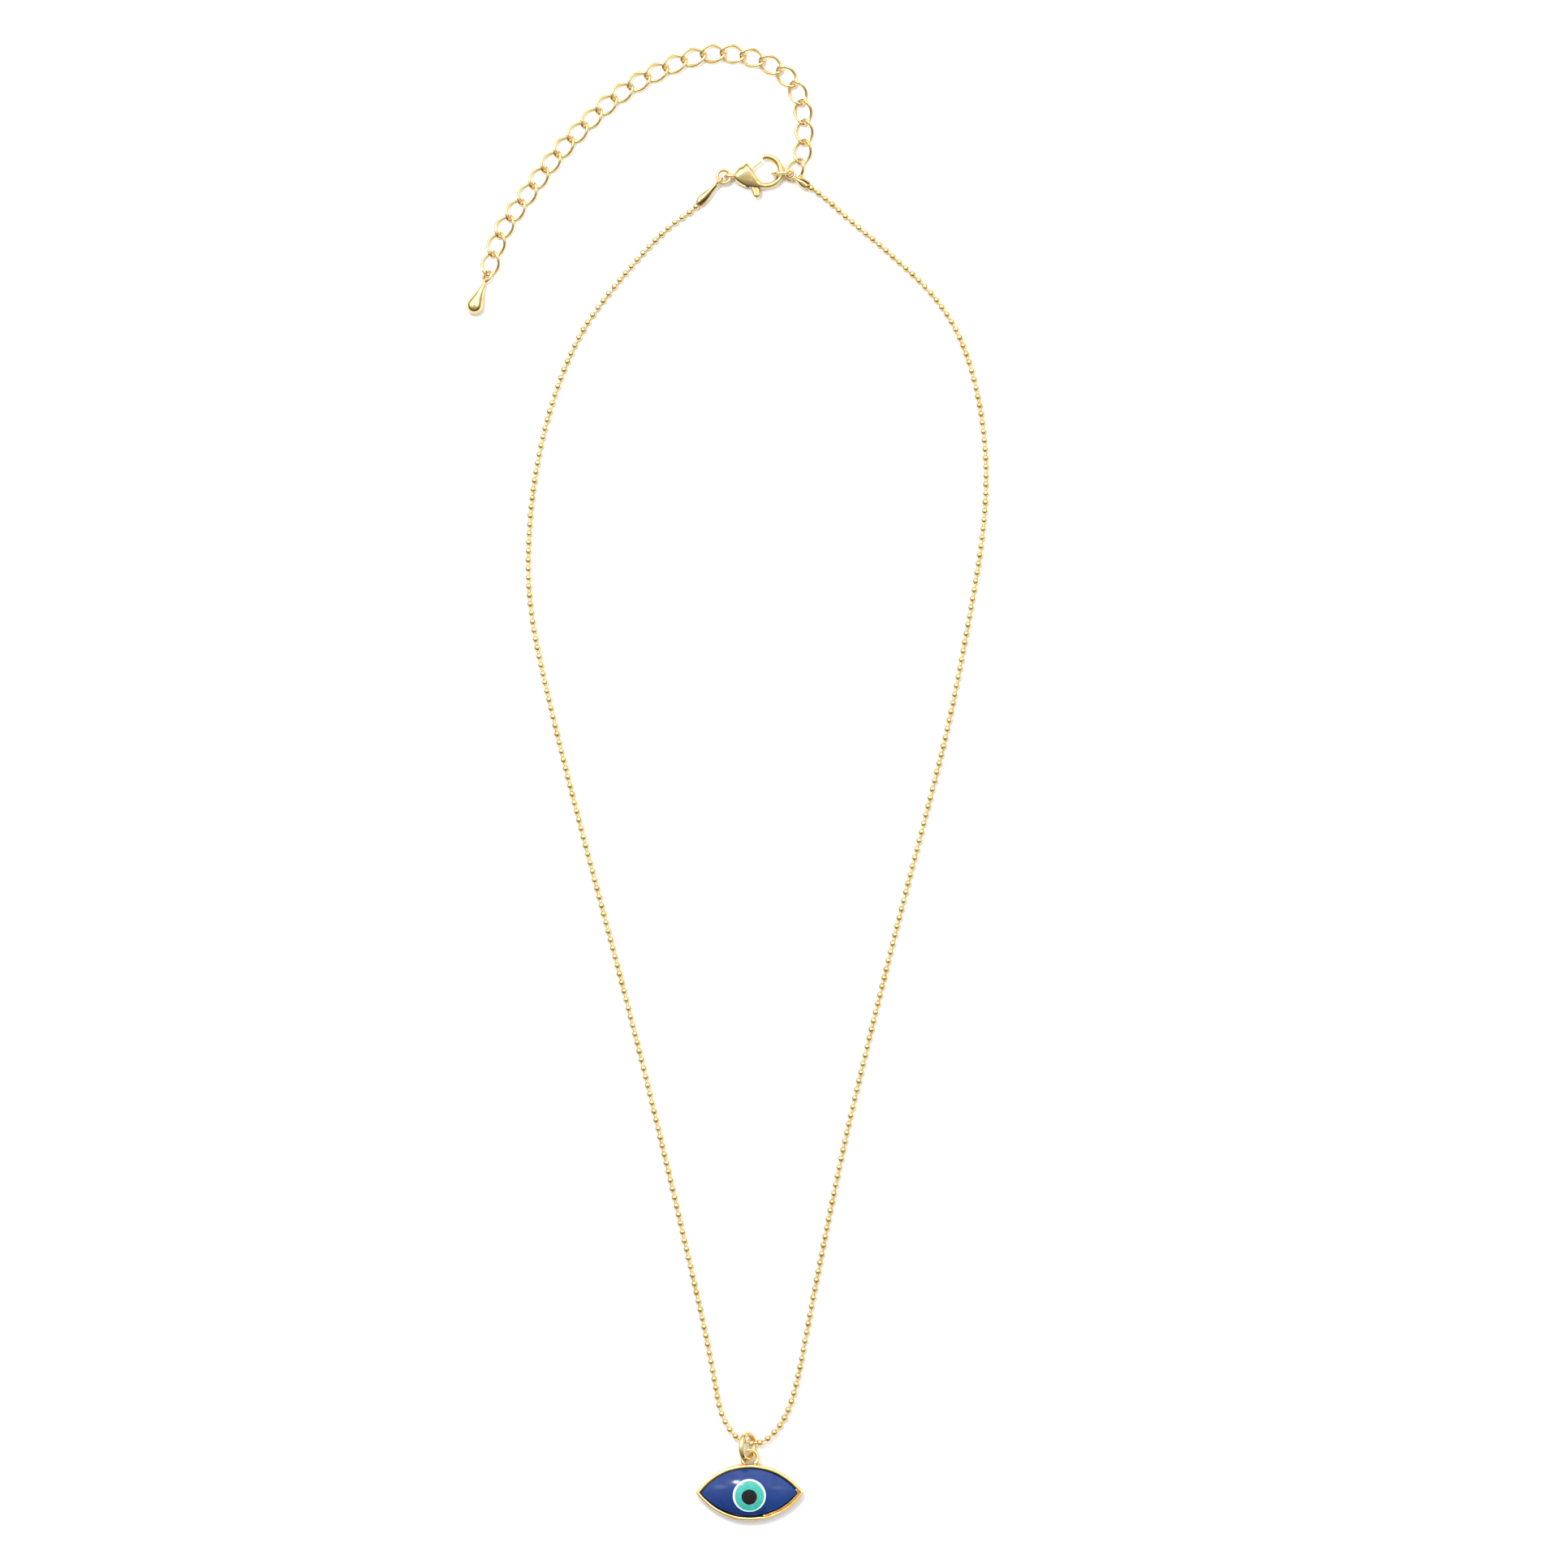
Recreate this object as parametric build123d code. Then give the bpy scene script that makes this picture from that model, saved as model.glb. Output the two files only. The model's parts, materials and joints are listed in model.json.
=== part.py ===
"""Evil eye pendant on a ball chain necklace, closed and laid flat: +Z up, origin under the pendant, millimetres."""

import os
from math import cos, pi, radians, sin, sqrt, tan

from build123d import *

# Pendant: a marquise setting, two equal arcs wide, with a domed glass eye in it
PENDANT_LENGTH = 16.5
PENDANT_WIDTH = 8.7
RIM_WALL = 0.65
RIM_HEIGHT = 2.0
BACK_PLATE = 0.6
GLUE_THICKNESS = 0.3
GLASS_GAP = 0.05
GLASS_CROWN = 2.9
GLASS_RISE = 1.3
IRIS_CENTRE = (0.0, -0.35)
WHITE_RADIUS = 2.5
TURQUOISE_RADIUS = 2.2
PUPIL_RADIUS = 1.17
INLAY_DEPTH = 0.8

# The loop cast on the setting, and the thick jump ring that carries it on the chain
LOOP_CENTRE = (0.05, 5.29, 1.4)
LOOP_RADIUS = 1.18
LOOP_WIRE = 0.52
LOOP_START = -42.0
LOOP_SHOULDER = 0.42
LOOP_SHOULDER_X = 0.92
LOOP_SHOULDER_Y = 4.5
BAIL_CENTRE = (-0.32, 7.1)
BAIL_RADIUS = 1.88
BAIL_WIRE = 0.84
BAIL_LEAN = 60.0

# Ball chain: the route of its centreline, from the left crimp's mouth round the pendant to the right one's
CHAIN_DIAMETER = 1.0
CHAIN_LENGTH = 410.0
LIMP_MIN_RADIUS = 3.0 * CHAIN_DIAMETER
CHAIN_ROUTE = [
    (-7.8, 196.15, 0.85),
    (-8.86, 194.99, 0.7),
    (-11.5, 193.4, 0.5),
    (-15.0, 190.1, 0.5),
    (-19.9, 184.6, 0.5),
    (-26.0, 176.6, 0.5),
    (-30.3, 165.9, 0.5),
    (-33.0, 154.0, 0.5),
    (-33.9, 141.9, 0.5),
    (-33.3, 132.8, 0.5),
    (-30.6, 120.6, 0.5),
    (-26.75, 105.0, 0.5),
    (-22.1, 87.6, 0.5),
    (-17.6, 70.4, 0.5),
    (-13.4, 53.2, 0.5),
    (-9.9, 38.2, 0.5),
    (-6.95, 25.3, 0.5),
    (-5.3, 16.8, 0.5),
    (-4.5, 11.9, 0.7),
    (-1.9, 7.8, 1.5),
    (2.0, 7.2, 1.5),
    (5.4, 10.9, 0.7),
    (7.2, 16.3, 0.5),
    (8.9, 25.6, 0.5),
    (11.3, 37.9, 0.5),
    (14.35, 53.0, 0.5),
    (18.5, 70.3, 0.5),
    (22.8, 87.6, 0.5),
    (27.4, 105.2, 0.5),
    (30.6, 117.9, 0.5),
    (33.6, 133.8, 0.5),
    (35.7, 146.4, 0.5),
    (36.2, 156.9, 0.5),
    (34.9, 167.3, 0.5),
    (32.1, 176.3, 0.5),
    (27.8, 182.7, 0.5),
    (21.2, 188.8, 0.5),
    (15.1, 193.8, 0.5),
    (11.04, 197.54, 0.53),
    (8.95, 198.85, 0.95),
]

# Chain end crimps: mouth to loop centre, cone from the mouth's radius down to the neck's
CRIMP_LOOPS = {"left": (-4.61, 199.5, 1.3), "right": (6.2, 200.57, 1.5)}
CRIMP_MOUTH_RADIUS = 0.8
CRIMP_NECK_RADIUS = 0.32
CRIMP_LOOP_RADIUS = {"left": 0.65, "right": 0.65}
CRIMP_LOOP_WIRE = 0.4
CRIMP_SLOT_WIDTH = 0.3
CRIMP_SLOT_DEPTH = 0.35

# Clasp: a cast body with a hook, a sprung lever on a pin, and the ring behind it
CLASP_RING_CENTRE = (-3.95, 200.25, 1.24)
CLASP_RING_RADIUS = 1.0
CLASP_RING_WIRE = 0.5
CLASP_EYE_CENTRE = (-2.95, 200.3, 1.15)
CLASP_EYE_RADIUS = 0.75
CLASP_EYE_WIRE = 0.5
CLASP_MID_Z = 1.15
CLASP_THICKNESS = 2.2
HOOK_CENTRE = (2.53, 201.1)
HOOK_RADIUS = 2.2
HOOK_WIRE = 0.9
HOOK_TIP_ANGLE = 107.0
HOOK_ROOT_ANGLE = -100.0
HOUSING_OUTLINE = [
    (-0.45, 202.6),
    (-0.05, 202.15),
    (0.55, 201.2),
    (1.3, 200.05),
    (1.85, 199.5),
    (2.4, 199.37),
    (2.4, 198.45),
    (0.5, 198.35),
    (-1.2, 198.9),
    (-2.2, 199.8),
    (-2.5, 200.65),
    (-1.95, 201.6),
]
HOUSING_CORNER = 0.12
SLOT_OUTLINE = [
    (-0.9, 196.5),
    (1.8, 196.5),
    (1.8, 199.4),
    (1.55, 200.0),
    (1.9, 200.6),
    (1.9, 203.0),
    (0.0, 203.0),
    (0.0, 201.2),
    (-0.72, 200.5),
]
SLOT_HEIGHT = 1.0
LEVER_PIVOT = (0.19, 199.9)
LEVER_HUB_RADIUS = 0.8
LEVER_HEIGHT = 0.9
LEVER_CURVE = [(0.19, 199.9), (0.3, 200.9), (0.52, 201.55), (1.12, 202.08), (1.8, 202.5)]
LEVER_STRIP_WIDTH = 0.32
TAB_ROOT = (0.45, 199.1)
TAB_ROOT_RADIUS = 0.42
TAB_END = (1.14, 197.65)
TAB_END_RADIUS = 0.55
PIN_RADIUS = 0.3
PIN_CLEARANCE = 0.03
SPRING_POCKET_RADIUS = 0.62
SPRING_POCKET_TOP = 1.15
SPRING_COIL_RADIUS = 0.45
SPRING_WIRE = 0.12
SPRING_PITCH = 0.15
SPRING_TURNS = 2.5

# Closure ring, which the hook, the right crimp and the extender share
CLOSURE_CENTRE = (4.89, 200.66, 1.7)
CLOSURE_RADIUS = 1.42
CLOSURE_WIRE = 0.5
CLOSURE_YAW = 1.5
CLOSURE_LEAN = -2.0

# Extender chain: twisted curb links, each turned a little from the one before
LINK_HALF_LENGTH = 1.86
LINK_HALF_WIDTH = 1.26
LINK_TWIST = 45.0
LINK_WIRE = 0.5
LINK_PITCH = 3.04
LINK_Z = 0.74
LINK_SIDES = 12
FIRST_LINK_CENTRE = (6.9, 201.33, 0.9)
FIRST_LINK_ROLL = -8.0
FIRST_LINK_PITCH = 10.0
LINK_HEADINGS = [55, 80, 90, 97, 113, 135, 152, 165, 173, 184, 196, 203, 206]
LINK_HEADINGS += [210, 216, 220, 224, 226, 228, 231, 234, 235, 233, 240, 250, 256]

# Teardrop charm at the extender's end
TEARDROP_HEADING = 247.0
TEARDROP_LOOP_RADIUS = 0.8
TEARDROP_LOOP_WIRE = 0.44
TEARDROP_LOOP_ROLL = -45.0
TEARDROP_LOOP_Z = 0.95
TEARDROP_SLACK = 0.19
TEARDROP_LENGTH = 5.4
TEARDROP_BULB_RADIUS = 1.3
TEARDROP_NECK_RADIUS = 0.25


def heading(angle):
    """Unit vector in the plane, angle in degrees from +X."""
    return Vector(cos(radians(angle)), sin(radians(angle)), 0)


def marquise(inset):
    """Lens outline of two equal arcs, moved in from the setting's outside by inset."""
    half_length = PENDANT_LENGTH / 2
    half_width = PENDANT_WIDTH / 2
    arc_radius = (half_length**2 + half_width**2) / (2 * half_width)
    offset_y = arc_radius - half_width
    disc = Circle(arc_radius - inset)
    return (Pos(0, -offset_y) * disc) & (Pos(0, offset_y) * disc)


def prism(outline, bottom, top):
    """Outline raised from bottom to top."""
    return Pos(0, 0, bottom) * extrude(outline, top - bottom)


def cylinder_at(x, y, radius, bottom, top):
    """Upright cylinder between two heights."""
    return prism(Pos(x, y) * Circle(radius), bottom, top)


def ring(centre, radius, wire, normal):
    """Round wire ring of mean radius, lying across normal."""
    return Plane(origin=centre, z_dir=normal) * Torus(radius, wire / 2)


def tapered_bar(start, end, start_radius, end_radius):
    """Flat bar with round ends of two sizes."""
    discs = Pos(*start) * Circle(start_radius) + Pos(*end) * Circle(end_radius)
    return make_hull(discs.edges())


# ---------------------------------------------------------------- pendant


def bezel_setting():
    """Cup that holds the glass: back plate and upright wall, open at the top."""
    return prism(marquise(0), 0, RIM_HEIGHT) - prism(marquise(RIM_WALL), BACK_PLATE, RIM_HEIGHT + 1)


def glue_bed():
    """Thin bed of adhesive between the back plate and the glass."""
    return prism(marquise(RIM_WALL + GLASS_GAP), BACK_PLATE, BACK_PLATE + GLUE_THICKNESS)


def glass_dome():
    """Domed stone: the marquise prism under a crown that is an arc along X turned about a level axis."""
    half_width = PENDANT_WIDTH / 2 - RIM_WALL - GLASS_GAP
    half_length = PENDANT_LENGTH / 2 - 2 * RIM_WALL
    cross_radius = (half_width**2 + GLASS_RISE**2) / (2 * GLASS_RISE)
    crown_radius = (half_length**2 + GLASS_RISE**2) / (2 * GLASS_RISE)
    reach = half_length + 1
    drop = crown_radius - sqrt(crown_radius**2 - reach**2)
    crown_arc = ThreePointArc(
        (-reach, 0, cross_radius - drop), (0, 0, cross_radius), (reach, 0, cross_radius - drop)
    )
    sides = Polyline(crown_arc @ 1, (reach, 0, 0), (-reach, 0, 0), crown_arc @ 0)
    crown = revolve(make_face([crown_arc, *sides.edges()]), Axis.X, 360)
    crown = Pos(0, 0, GLASS_CROWN - cross_radius) * crown
    blank = prism(marquise(RIM_WALL + GLASS_GAP), BACK_PLATE + GLUE_THICKNESS, GLASS_CROWN + 1)
    return blank & crown


def iris_plug(radius):
    """Upright round plug under the iris, from the pocket's floor to above the crown."""
    return cylinder_at(*IRIS_CENTRE, radius, GLASS_CROWN - INLAY_DEPTH, GLASS_CROWN + 1)


def glass_eye():
    """Blue stone with its round pocket, and the nested white, turquoise and black inlays, flush with the crown."""
    dome = glass_dome()
    return {
        "blue_cabochon": dome - iris_plug(WHITE_RADIUS),
        "white_iris_ring": dome & (iris_plug(WHITE_RADIUS) - iris_plug(TURQUOISE_RADIUS)),
        "turquoise_iris_ring": dome & (iris_plug(TURQUOISE_RADIUS) - iris_plug(PUPIL_RADIUS)),
        "black_pupil": dome & iris_plug(PUPIL_RADIUS),
    }


def pendant_loop():
    """Loop of wire between two round shoulders, soldered to the top of the setting's wall."""
    section = Plane.XZ * (Pos(LOOP_RADIUS, 0) * Circle(LOOP_WIRE / 2))
    wire = Rot(0, 0, LOOP_START) * revolve(section, Axis.Z, 180 - 2 * LOOP_START)
    loop = Pos(*LOOP_CENTRE) * wire
    for side in (-1, 1):
        shoulder_x = LOOP_CENTRE[0] + side * LOOP_SHOULDER_X
        loop += Pos(shoulder_x, LOOP_SHOULDER_Y, LOOP_CENTRE[2]) * Sphere(LOOP_SHOULDER)
    return loop - prism(marquise(0), 0, RIM_HEIGHT + 1)


def bail_ring():
    """Thick jump ring round the chain, leaning so that its right limb goes down through the pendant's loop."""
    lean = radians(BAIL_LEAN)
    centre_z = BAIL_RADIUS * sin(lean) + BAIL_WIRE / 2 + 0.02
    return ring((*BAIL_CENTRE, centre_z), BAIL_RADIUS, BAIL_WIRE, (sin(lean), 0, cos(lean)))


# ---------------------------------------------------------------- chain and its crimps


def ball_chain():
    """Plain tube along the chain's route: straight runs joined by arcs as large as the runs allow."""
    points = [Vector(*point) for point in CHAIN_ROUTE]
    runs = [end - start for start, end in zip(points, points[1:])]
    radii = []
    for before, after in zip(runs, runs[1:]):
        half_turn = radians(before.get_angle(after)) / 2
        radii.append(0.45 * min(before.length, after.length) / tan(half_turn))
    path = FilletPolyline(*points, radius=radii)
    section = Plane(origin=path @ 0, z_dir=path % 0) * Circle(CHAIN_DIAMETER / 2)
    tube = sweep(section, path=path)
    expected = pi * (CHAIN_DIAMETER / 2) ** 2 * path.length
    print("chain radii", [round(radius, 1) for radius in radii], "least allowed", LIMP_MIN_RADIUS)
    print("chain length", round(path.length, 1), "of", CHAIN_LENGTH, "volume share", round(tube.volume / expected, 4))
    return tube


def chain_crimp(side):
    """Fold-over end: a cone from the mouth to the neck, a slot on its face, and a ring at the end."""
    mouth = Vector(*CHAIN_ROUTE[0 if side == "left" else -1])
    loop_centre = Vector(*CRIMP_LOOPS[side])
    along = (loop_centre - mouth).normalized()
    loop_radius = CRIMP_LOOP_RADIUS[side]
    length = (loop_centre - mouth).length - loop_radius
    cone = Cone(CRIMP_MOUTH_RADIUS, CRIMP_NECK_RADIUS, length, align=(Align.CENTER, Align.CENTER, Align.MIN))
    slot_bottom = CRIMP_MOUTH_RADIUS - CRIMP_SLOT_DEPTH
    slot = Pos(slot_bottom, 0, length / 2) * Box(
        2 * CRIMP_SLOT_DEPTH, CRIMP_SLOT_WIDTH, 2 * length, align=(Align.MIN, Align.CENTER, Align.CENTER)
    )
    level = Vector(0, 0, 1).cross(along).normalized()
    upward = along.cross(level)
    body = Plane(origin=mouth, x_dir=upward, z_dir=along) * (cone - slot)
    loop_normal = level if side == "left" else Vector(0, 0, 1)
    return body + ring(loop_centre, loop_radius, CRIMP_LOOP_WIRE, loop_normal)


# ---------------------------------------------------------------- clasp


def clasp_hook():
    """Round hook wire, turned about the hook's centre from its root to its tip."""
    section = Plane.XZ * (Pos(HOOK_RADIUS, 0) * Circle(HOOK_WIRE / 2))
    wire = revolve(section, Axis.Z, HOOK_TIP_ANGLE - HOOK_ROOT_ANGLE)
    return Pos(*HOOK_CENTRE, CLASP_MID_Z) * Rot(0, 0, HOOK_ROOT_ANGLE) * wire


def clasp_body():
    """Cast body: two cheeks round the lever's slot, the hook, and the upright eye at the rear."""
    bottom = CLASP_MID_Z - CLASP_THICKNESS / 2
    top = CLASP_MID_Z + CLASP_THICKNESS / 2
    outline = make_face(Polyline(*HOUSING_OUTLINE, close=True))
    outline = fillet(outline.vertices(), HOUSING_CORNER)
    housing = prism(outline, bottom, top)
    slot = make_face(Polyline(*SLOT_OUTLINE, close=True))
    housing -= prism(slot, CLASP_MID_Z - SLOT_HEIGHT / 2, CLASP_MID_Z + SLOT_HEIGHT / 2)
    housing -= cylinder_at(*LEVER_PIVOT, PIN_RADIUS, bottom - 1, top + 1)
    eye = ring(CLASP_EYE_CENTRE, CLASP_EYE_RADIUS, CLASP_EYE_WIRE, (0, 1, 0))
    return housing + clasp_hook() + eye


def clasp_lever():
    """Gate strip and thumb tab on one hub, with a pocket under the hub for the spring."""
    bottom = CLASP_MID_Z - LEVER_HEIGHT / 2
    top = CLASP_MID_Z + LEVER_HEIGHT / 2
    outline = Pos(*LEVER_PIVOT) * Circle(LEVER_HUB_RADIUS)
    for start, end in zip(LEVER_CURVE, LEVER_CURVE[1:]):
        outline += tapered_bar(start, end, LEVER_STRIP_WIDTH / 2, LEVER_STRIP_WIDTH / 2)
    outline += tapered_bar(TAB_ROOT, TAB_END, TAB_ROOT_RADIUS, TAB_END_RADIUS)
    lever = prism(outline, bottom, top)
    lever -= cylinder_at(*LEVER_PIVOT, PIN_RADIUS + PIN_CLEARANCE, bottom - 1, top + 1)
    return lever - cylinder_at(*LEVER_PIVOT, SPRING_POCKET_RADIUS, bottom - 1, SPRING_POCKET_TOP)


def clasp_lever_pin():
    """Pin through both cheeks, pressed flush."""
    bottom = CLASP_MID_Z - CLASP_THICKNESS / 2
    return cylinder_at(*LEVER_PIVOT, PIN_RADIUS, bottom, bottom + CLASP_THICKNESS)


def clasp_spring():
    """Torsion spring: a short coil round the pin, in the pocket under the lever's hub."""
    floor = CLASP_MID_Z - SLOT_HEIGHT / 2 + SPRING_WIRE / 2
    coil = Helix(SPRING_PITCH, SPRING_PITCH * SPRING_TURNS, SPRING_COIL_RADIUS)
    section = Plane(origin=coil @ 0, z_dir=coil % 0) * Circle(SPRING_WIRE / 2)
    return Pos(*LEVER_PIVOT, floor) * sweep(section, path=coil, is_frenet=True)


def closure_ring():
    """Jump ring standing on its edge."""
    yaw = radians(CLOSURE_YAW)
    lean = radians(CLOSURE_LEAN)
    normal = (sin(yaw) * cos(lean), -cos(yaw) * cos(lean), sin(lean))
    return ring(CLOSURE_CENTRE, CLOSURE_RADIUS, CLOSURE_WIRE, normal)


# ---------------------------------------------------------------- extender


def curb_link():
    """One twisted link at the origin: an oval whose plane turns one way at one end and the other way at the other."""
    points = []
    for side in range(LINK_SIDES):
        turn = 2 * pi * (side + 0.5) / LINK_SIDES
        twist = -radians(LINK_TWIST) * cos(turn)
        across = LINK_HALF_WIDTH * sin(turn)
        points.append(Vector(LINK_HALF_LENGTH * cos(turn), across * cos(twist), across * sin(twist)) * 1.025)
    radii = []
    for index, point in enumerate(points):
        before = point - points[index - 1]
        after = points[(index + 1) % LINK_SIDES] - point
        half_turn = radians(before.get_angle(after)) / 2
        radii.append(0.45 * min(before.length, after.length) / tan(half_turn))
    edges = FilletPolyline(*points, radius=radii, close=True).edges()
    halves = []
    for half_edges in (edges[:LINK_SIDES], edges[LINK_SIDES:]):
        path = Wire(half_edges)
        section = Plane(origin=path @ 0, z_dir=path % 0) * Circle(LINK_WIRE / 2)
        halves.append(sweep(section, path=path))
    return halves[0] + halves[1]


def link_centres():
    """Each link's centre: half a pitch on from the last along its heading, and half along the next one's."""
    centres = [Vector(*FIRST_LINK_CENTRE)]
    for before, after in zip(LINK_HEADINGS, LINK_HEADINGS[1:]):
        centre = centres[-1] + (heading(before) + heading(after)) * (LINK_PITCH / 2)
        centres.append(Vector(centre.X, centre.Y, LINK_Z))
    return centres


def extender_links():
    """All links by node name, the first one rolled and pitched where it hangs on the closure ring."""
    link = curb_link()
    links = {}
    for index, (centre, angle) in enumerate(zip(link_centres(), LINK_HEADINGS)):
        first = index == 0
        tilt = Rot(0, -FIRST_LINK_PITCH, 0) * Rot(FIRST_LINK_ROLL, 0, 0) if first else Rot(0, 0, 0)
        links[f"extender_link_{index + 1:02d}"] = Pos(centre) * Rot(0, 0, angle) * tilt * link
    return links


def teardrop_charm():
    """Solid drop turned about its own axis, with a ring at its neck that hooks the last link."""
    last = link_centres()[-1]
    grip = LINK_HALF_LENGTH - LINK_WIRE / 2 - TEARDROP_LOOP_WIRE / 2 - TEARDROP_SLACK
    loop_centre = last + heading(LINK_HEADINGS[-1]) * (grip + TEARDROP_LOOP_RADIUS)
    loop_centre = Vector(loop_centre.X, loop_centre.Y, TEARDROP_LOOP_Z)
    bulb_distance = TEARDROP_LOOP_RADIUS + TEARDROP_LENGTH - TEARDROP_BULB_RADIUS
    rise = (TEARDROP_BULB_RADIUS - TEARDROP_LOOP_Z) / bulb_distance
    along = (heading(TEARDROP_HEADING) + Vector(0, 0, rise)).normalized()
    neck = TEARDROP_LOOP_RADIUS
    bulb = TEARDROP_LENGTH + TEARDROP_LOOP_RADIUS - TEARDROP_BULB_RADIUS
    flank = Spline(
        (TEARDROP_NECK_RADIUS, neck),
        (0.45 * TEARDROP_BULB_RADIUS, (neck + bulb) / 2),
        (TEARDROP_BULB_RADIUS, bulb),
        tangents=[(0.1, 1), (0, 1)],
    )
    nose = CenterArc((0, bulb), TEARDROP_BULB_RADIUS, 0, 90)
    closing = Polyline(nose @ 1, (0, neck), flank @ 0)
    profile = Plane.XZ * make_face([flank, nose, *closing.edges()])
    drop = Plane(origin=loop_centre, z_dir=along) * revolve(profile, Axis.Z, 360)
    level = Vector(0, 0, 1).cross(along).normalized()
    upward = along.cross(level)
    roll = radians(TEARDROP_LOOP_ROLL)
    normal = upward * cos(roll) + level * sin(roll)
    return drop + ring(loop_centre, TEARDROP_LOOP_RADIUS, TEARDROP_LOOP_WIRE, normal)


# ---------------------------------------------------------------- all nodes


def all_nodes():
    """Every separate piece by its node name."""
    nodes = {
        "bezel_setting": bezel_setting(),
        "glue_bed": glue_bed(),
        **glass_eye(),
        "pendant_loop": pendant_loop(),
        "bail_ring": bail_ring(),
        "ball_chain": ball_chain(),
        "left_chain_crimp": chain_crimp("left"),
        "right_chain_crimp": chain_crimp("right"),
        "clasp_ring": ring(CLASP_RING_CENTRE, CLASP_RING_RADIUS, CLASP_RING_WIRE, (0, 0, 1)),
        "clasp_body": clasp_body(),
        "clasp_lever": clasp_lever(),
        "clasp_lever_pin": clasp_lever_pin(),
        "clasp_spring": clasp_spring(),
        "closure_ring": closure_ring(),
        **extender_links(),
        "teardrop_charm": teardrop_charm(),
    }
    return nodes


os.makedirs("parts", exist_ok=True)
for node, shape in all_nodes().items():
    export_step(shape, f"parts/{node}.step")
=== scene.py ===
"""Looks of an evil eye pendant necklace, closed and lying flat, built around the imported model.

Shapes are worked out in millimetres and written to the meshes in metres. +Y runs from the pendant to the
clasp, +Z is up, and the table is at zero.
"""

import json
import logging
from dataclasses import dataclass
from enum import Enum
from math import cos, pi, radians, sin, sqrt
from typing import Any, Optional, Sequence

import bpy
import numpy as np
from mathutils import Matrix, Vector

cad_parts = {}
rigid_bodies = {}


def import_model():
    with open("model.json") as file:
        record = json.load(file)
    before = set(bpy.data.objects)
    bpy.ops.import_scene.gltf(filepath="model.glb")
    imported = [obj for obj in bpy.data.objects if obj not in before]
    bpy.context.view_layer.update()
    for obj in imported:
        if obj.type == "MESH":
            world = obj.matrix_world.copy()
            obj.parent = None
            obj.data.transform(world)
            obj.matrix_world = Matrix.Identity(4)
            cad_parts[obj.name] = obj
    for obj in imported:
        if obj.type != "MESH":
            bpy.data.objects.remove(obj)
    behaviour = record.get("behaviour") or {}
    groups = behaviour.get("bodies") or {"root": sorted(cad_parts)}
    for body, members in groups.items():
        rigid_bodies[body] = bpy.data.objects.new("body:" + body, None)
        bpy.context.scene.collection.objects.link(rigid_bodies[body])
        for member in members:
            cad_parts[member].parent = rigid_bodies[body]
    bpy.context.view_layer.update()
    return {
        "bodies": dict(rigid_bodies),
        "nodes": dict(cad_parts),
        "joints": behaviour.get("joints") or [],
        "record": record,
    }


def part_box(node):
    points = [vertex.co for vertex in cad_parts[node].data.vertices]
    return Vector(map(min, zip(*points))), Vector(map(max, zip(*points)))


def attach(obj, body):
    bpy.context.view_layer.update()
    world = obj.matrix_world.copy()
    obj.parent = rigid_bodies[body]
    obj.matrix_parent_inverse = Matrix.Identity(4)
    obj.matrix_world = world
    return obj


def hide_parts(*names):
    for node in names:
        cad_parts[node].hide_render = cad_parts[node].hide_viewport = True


LOG = logging.getLogger("necklace")
MM = 0.001
UP = (0.0, 0.0, 1.0)
Point = tuple[float, float, float]
Flat = tuple[float, float]


class Slot(Enum):
    """Material slots of the record, one for each finish."""

    CHAIN = "chain_gold"
    CLASP = "clasp_gold"
    RING = "ring_gold"
    SETTING = "setting_gold"
    EXTENDER = "extender_gold"
    BLUE = "blue_glass"
    WHITE = "white_glass"
    TURQUOISE = "turquoise_glass"
    BLACK = "black_glass"
    ADHESIVE = "clear_adhesive"
    SPRING = "spring_steel"


class Ends(Enum):
    """How a skin that isn't a ring is closed at its first and last rows."""

    POLE = "fan to a point in the middle"
    STRIP = "quads between the two halves of the row"


# ---------------------------------------------------------------- curves and skins


def unit(vectors: np.ndarray) -> np.ndarray:
    """Vectors divided by their own lengths."""
    return vectors / np.linalg.norm(vectors, axis=-1, keepdims=True)


def through(stations: Sequence[Sequence[float]], count: int) -> np.ndarray:
    """Smooth curve through given stations.

    Formula: between two stations, the cubic whose slope at each is half the step between its neighbours.

    Args:
        stations: Rows of numbers, in order.
        count: How many rows to give.

    Returns:
        Rows of the curve, evenly spaced from station to station.
    """
    table = np.asarray(stations, float)
    padded = np.vstack([2 * table[0] - table[1], table, 2 * table[-1] - table[-2]])
    where = np.linspace(0, len(table) - 1, count)
    index = np.minimum(where.astype(int), len(table) - 2)
    share = (where - index)[:, None]
    before, start, end, after = (padded[index + step] for step in range(4))
    cubic = 3 * start - 3 * end + after - before
    square = 2 * before - 5 * start + 4 * end - after
    return start + 0.5 * ((end - before) * share + square * share**2 + cubic * share**3)


def tight_ends(count: int, finest: float) -> np.ndarray:
    """Shares from 0 to 1 with extra ones crowded at both ends, so that a rounded end has rows to turn in.

    Args:
        count: How many shares the even part would have with its two ends.
        finest: How much of the way is crowded at each end.

    Returns:
        The shares in order.
    """
    crowd = finest * np.array([0.0, 0.04, 0.15, 0.32, 0.55, 0.8, 1.0])
    middle = np.linspace(finest, 1 - finest, count)[1:-1]
    return np.concatenate([crowd, middle, 1 - crowd[::-1]])


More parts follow.
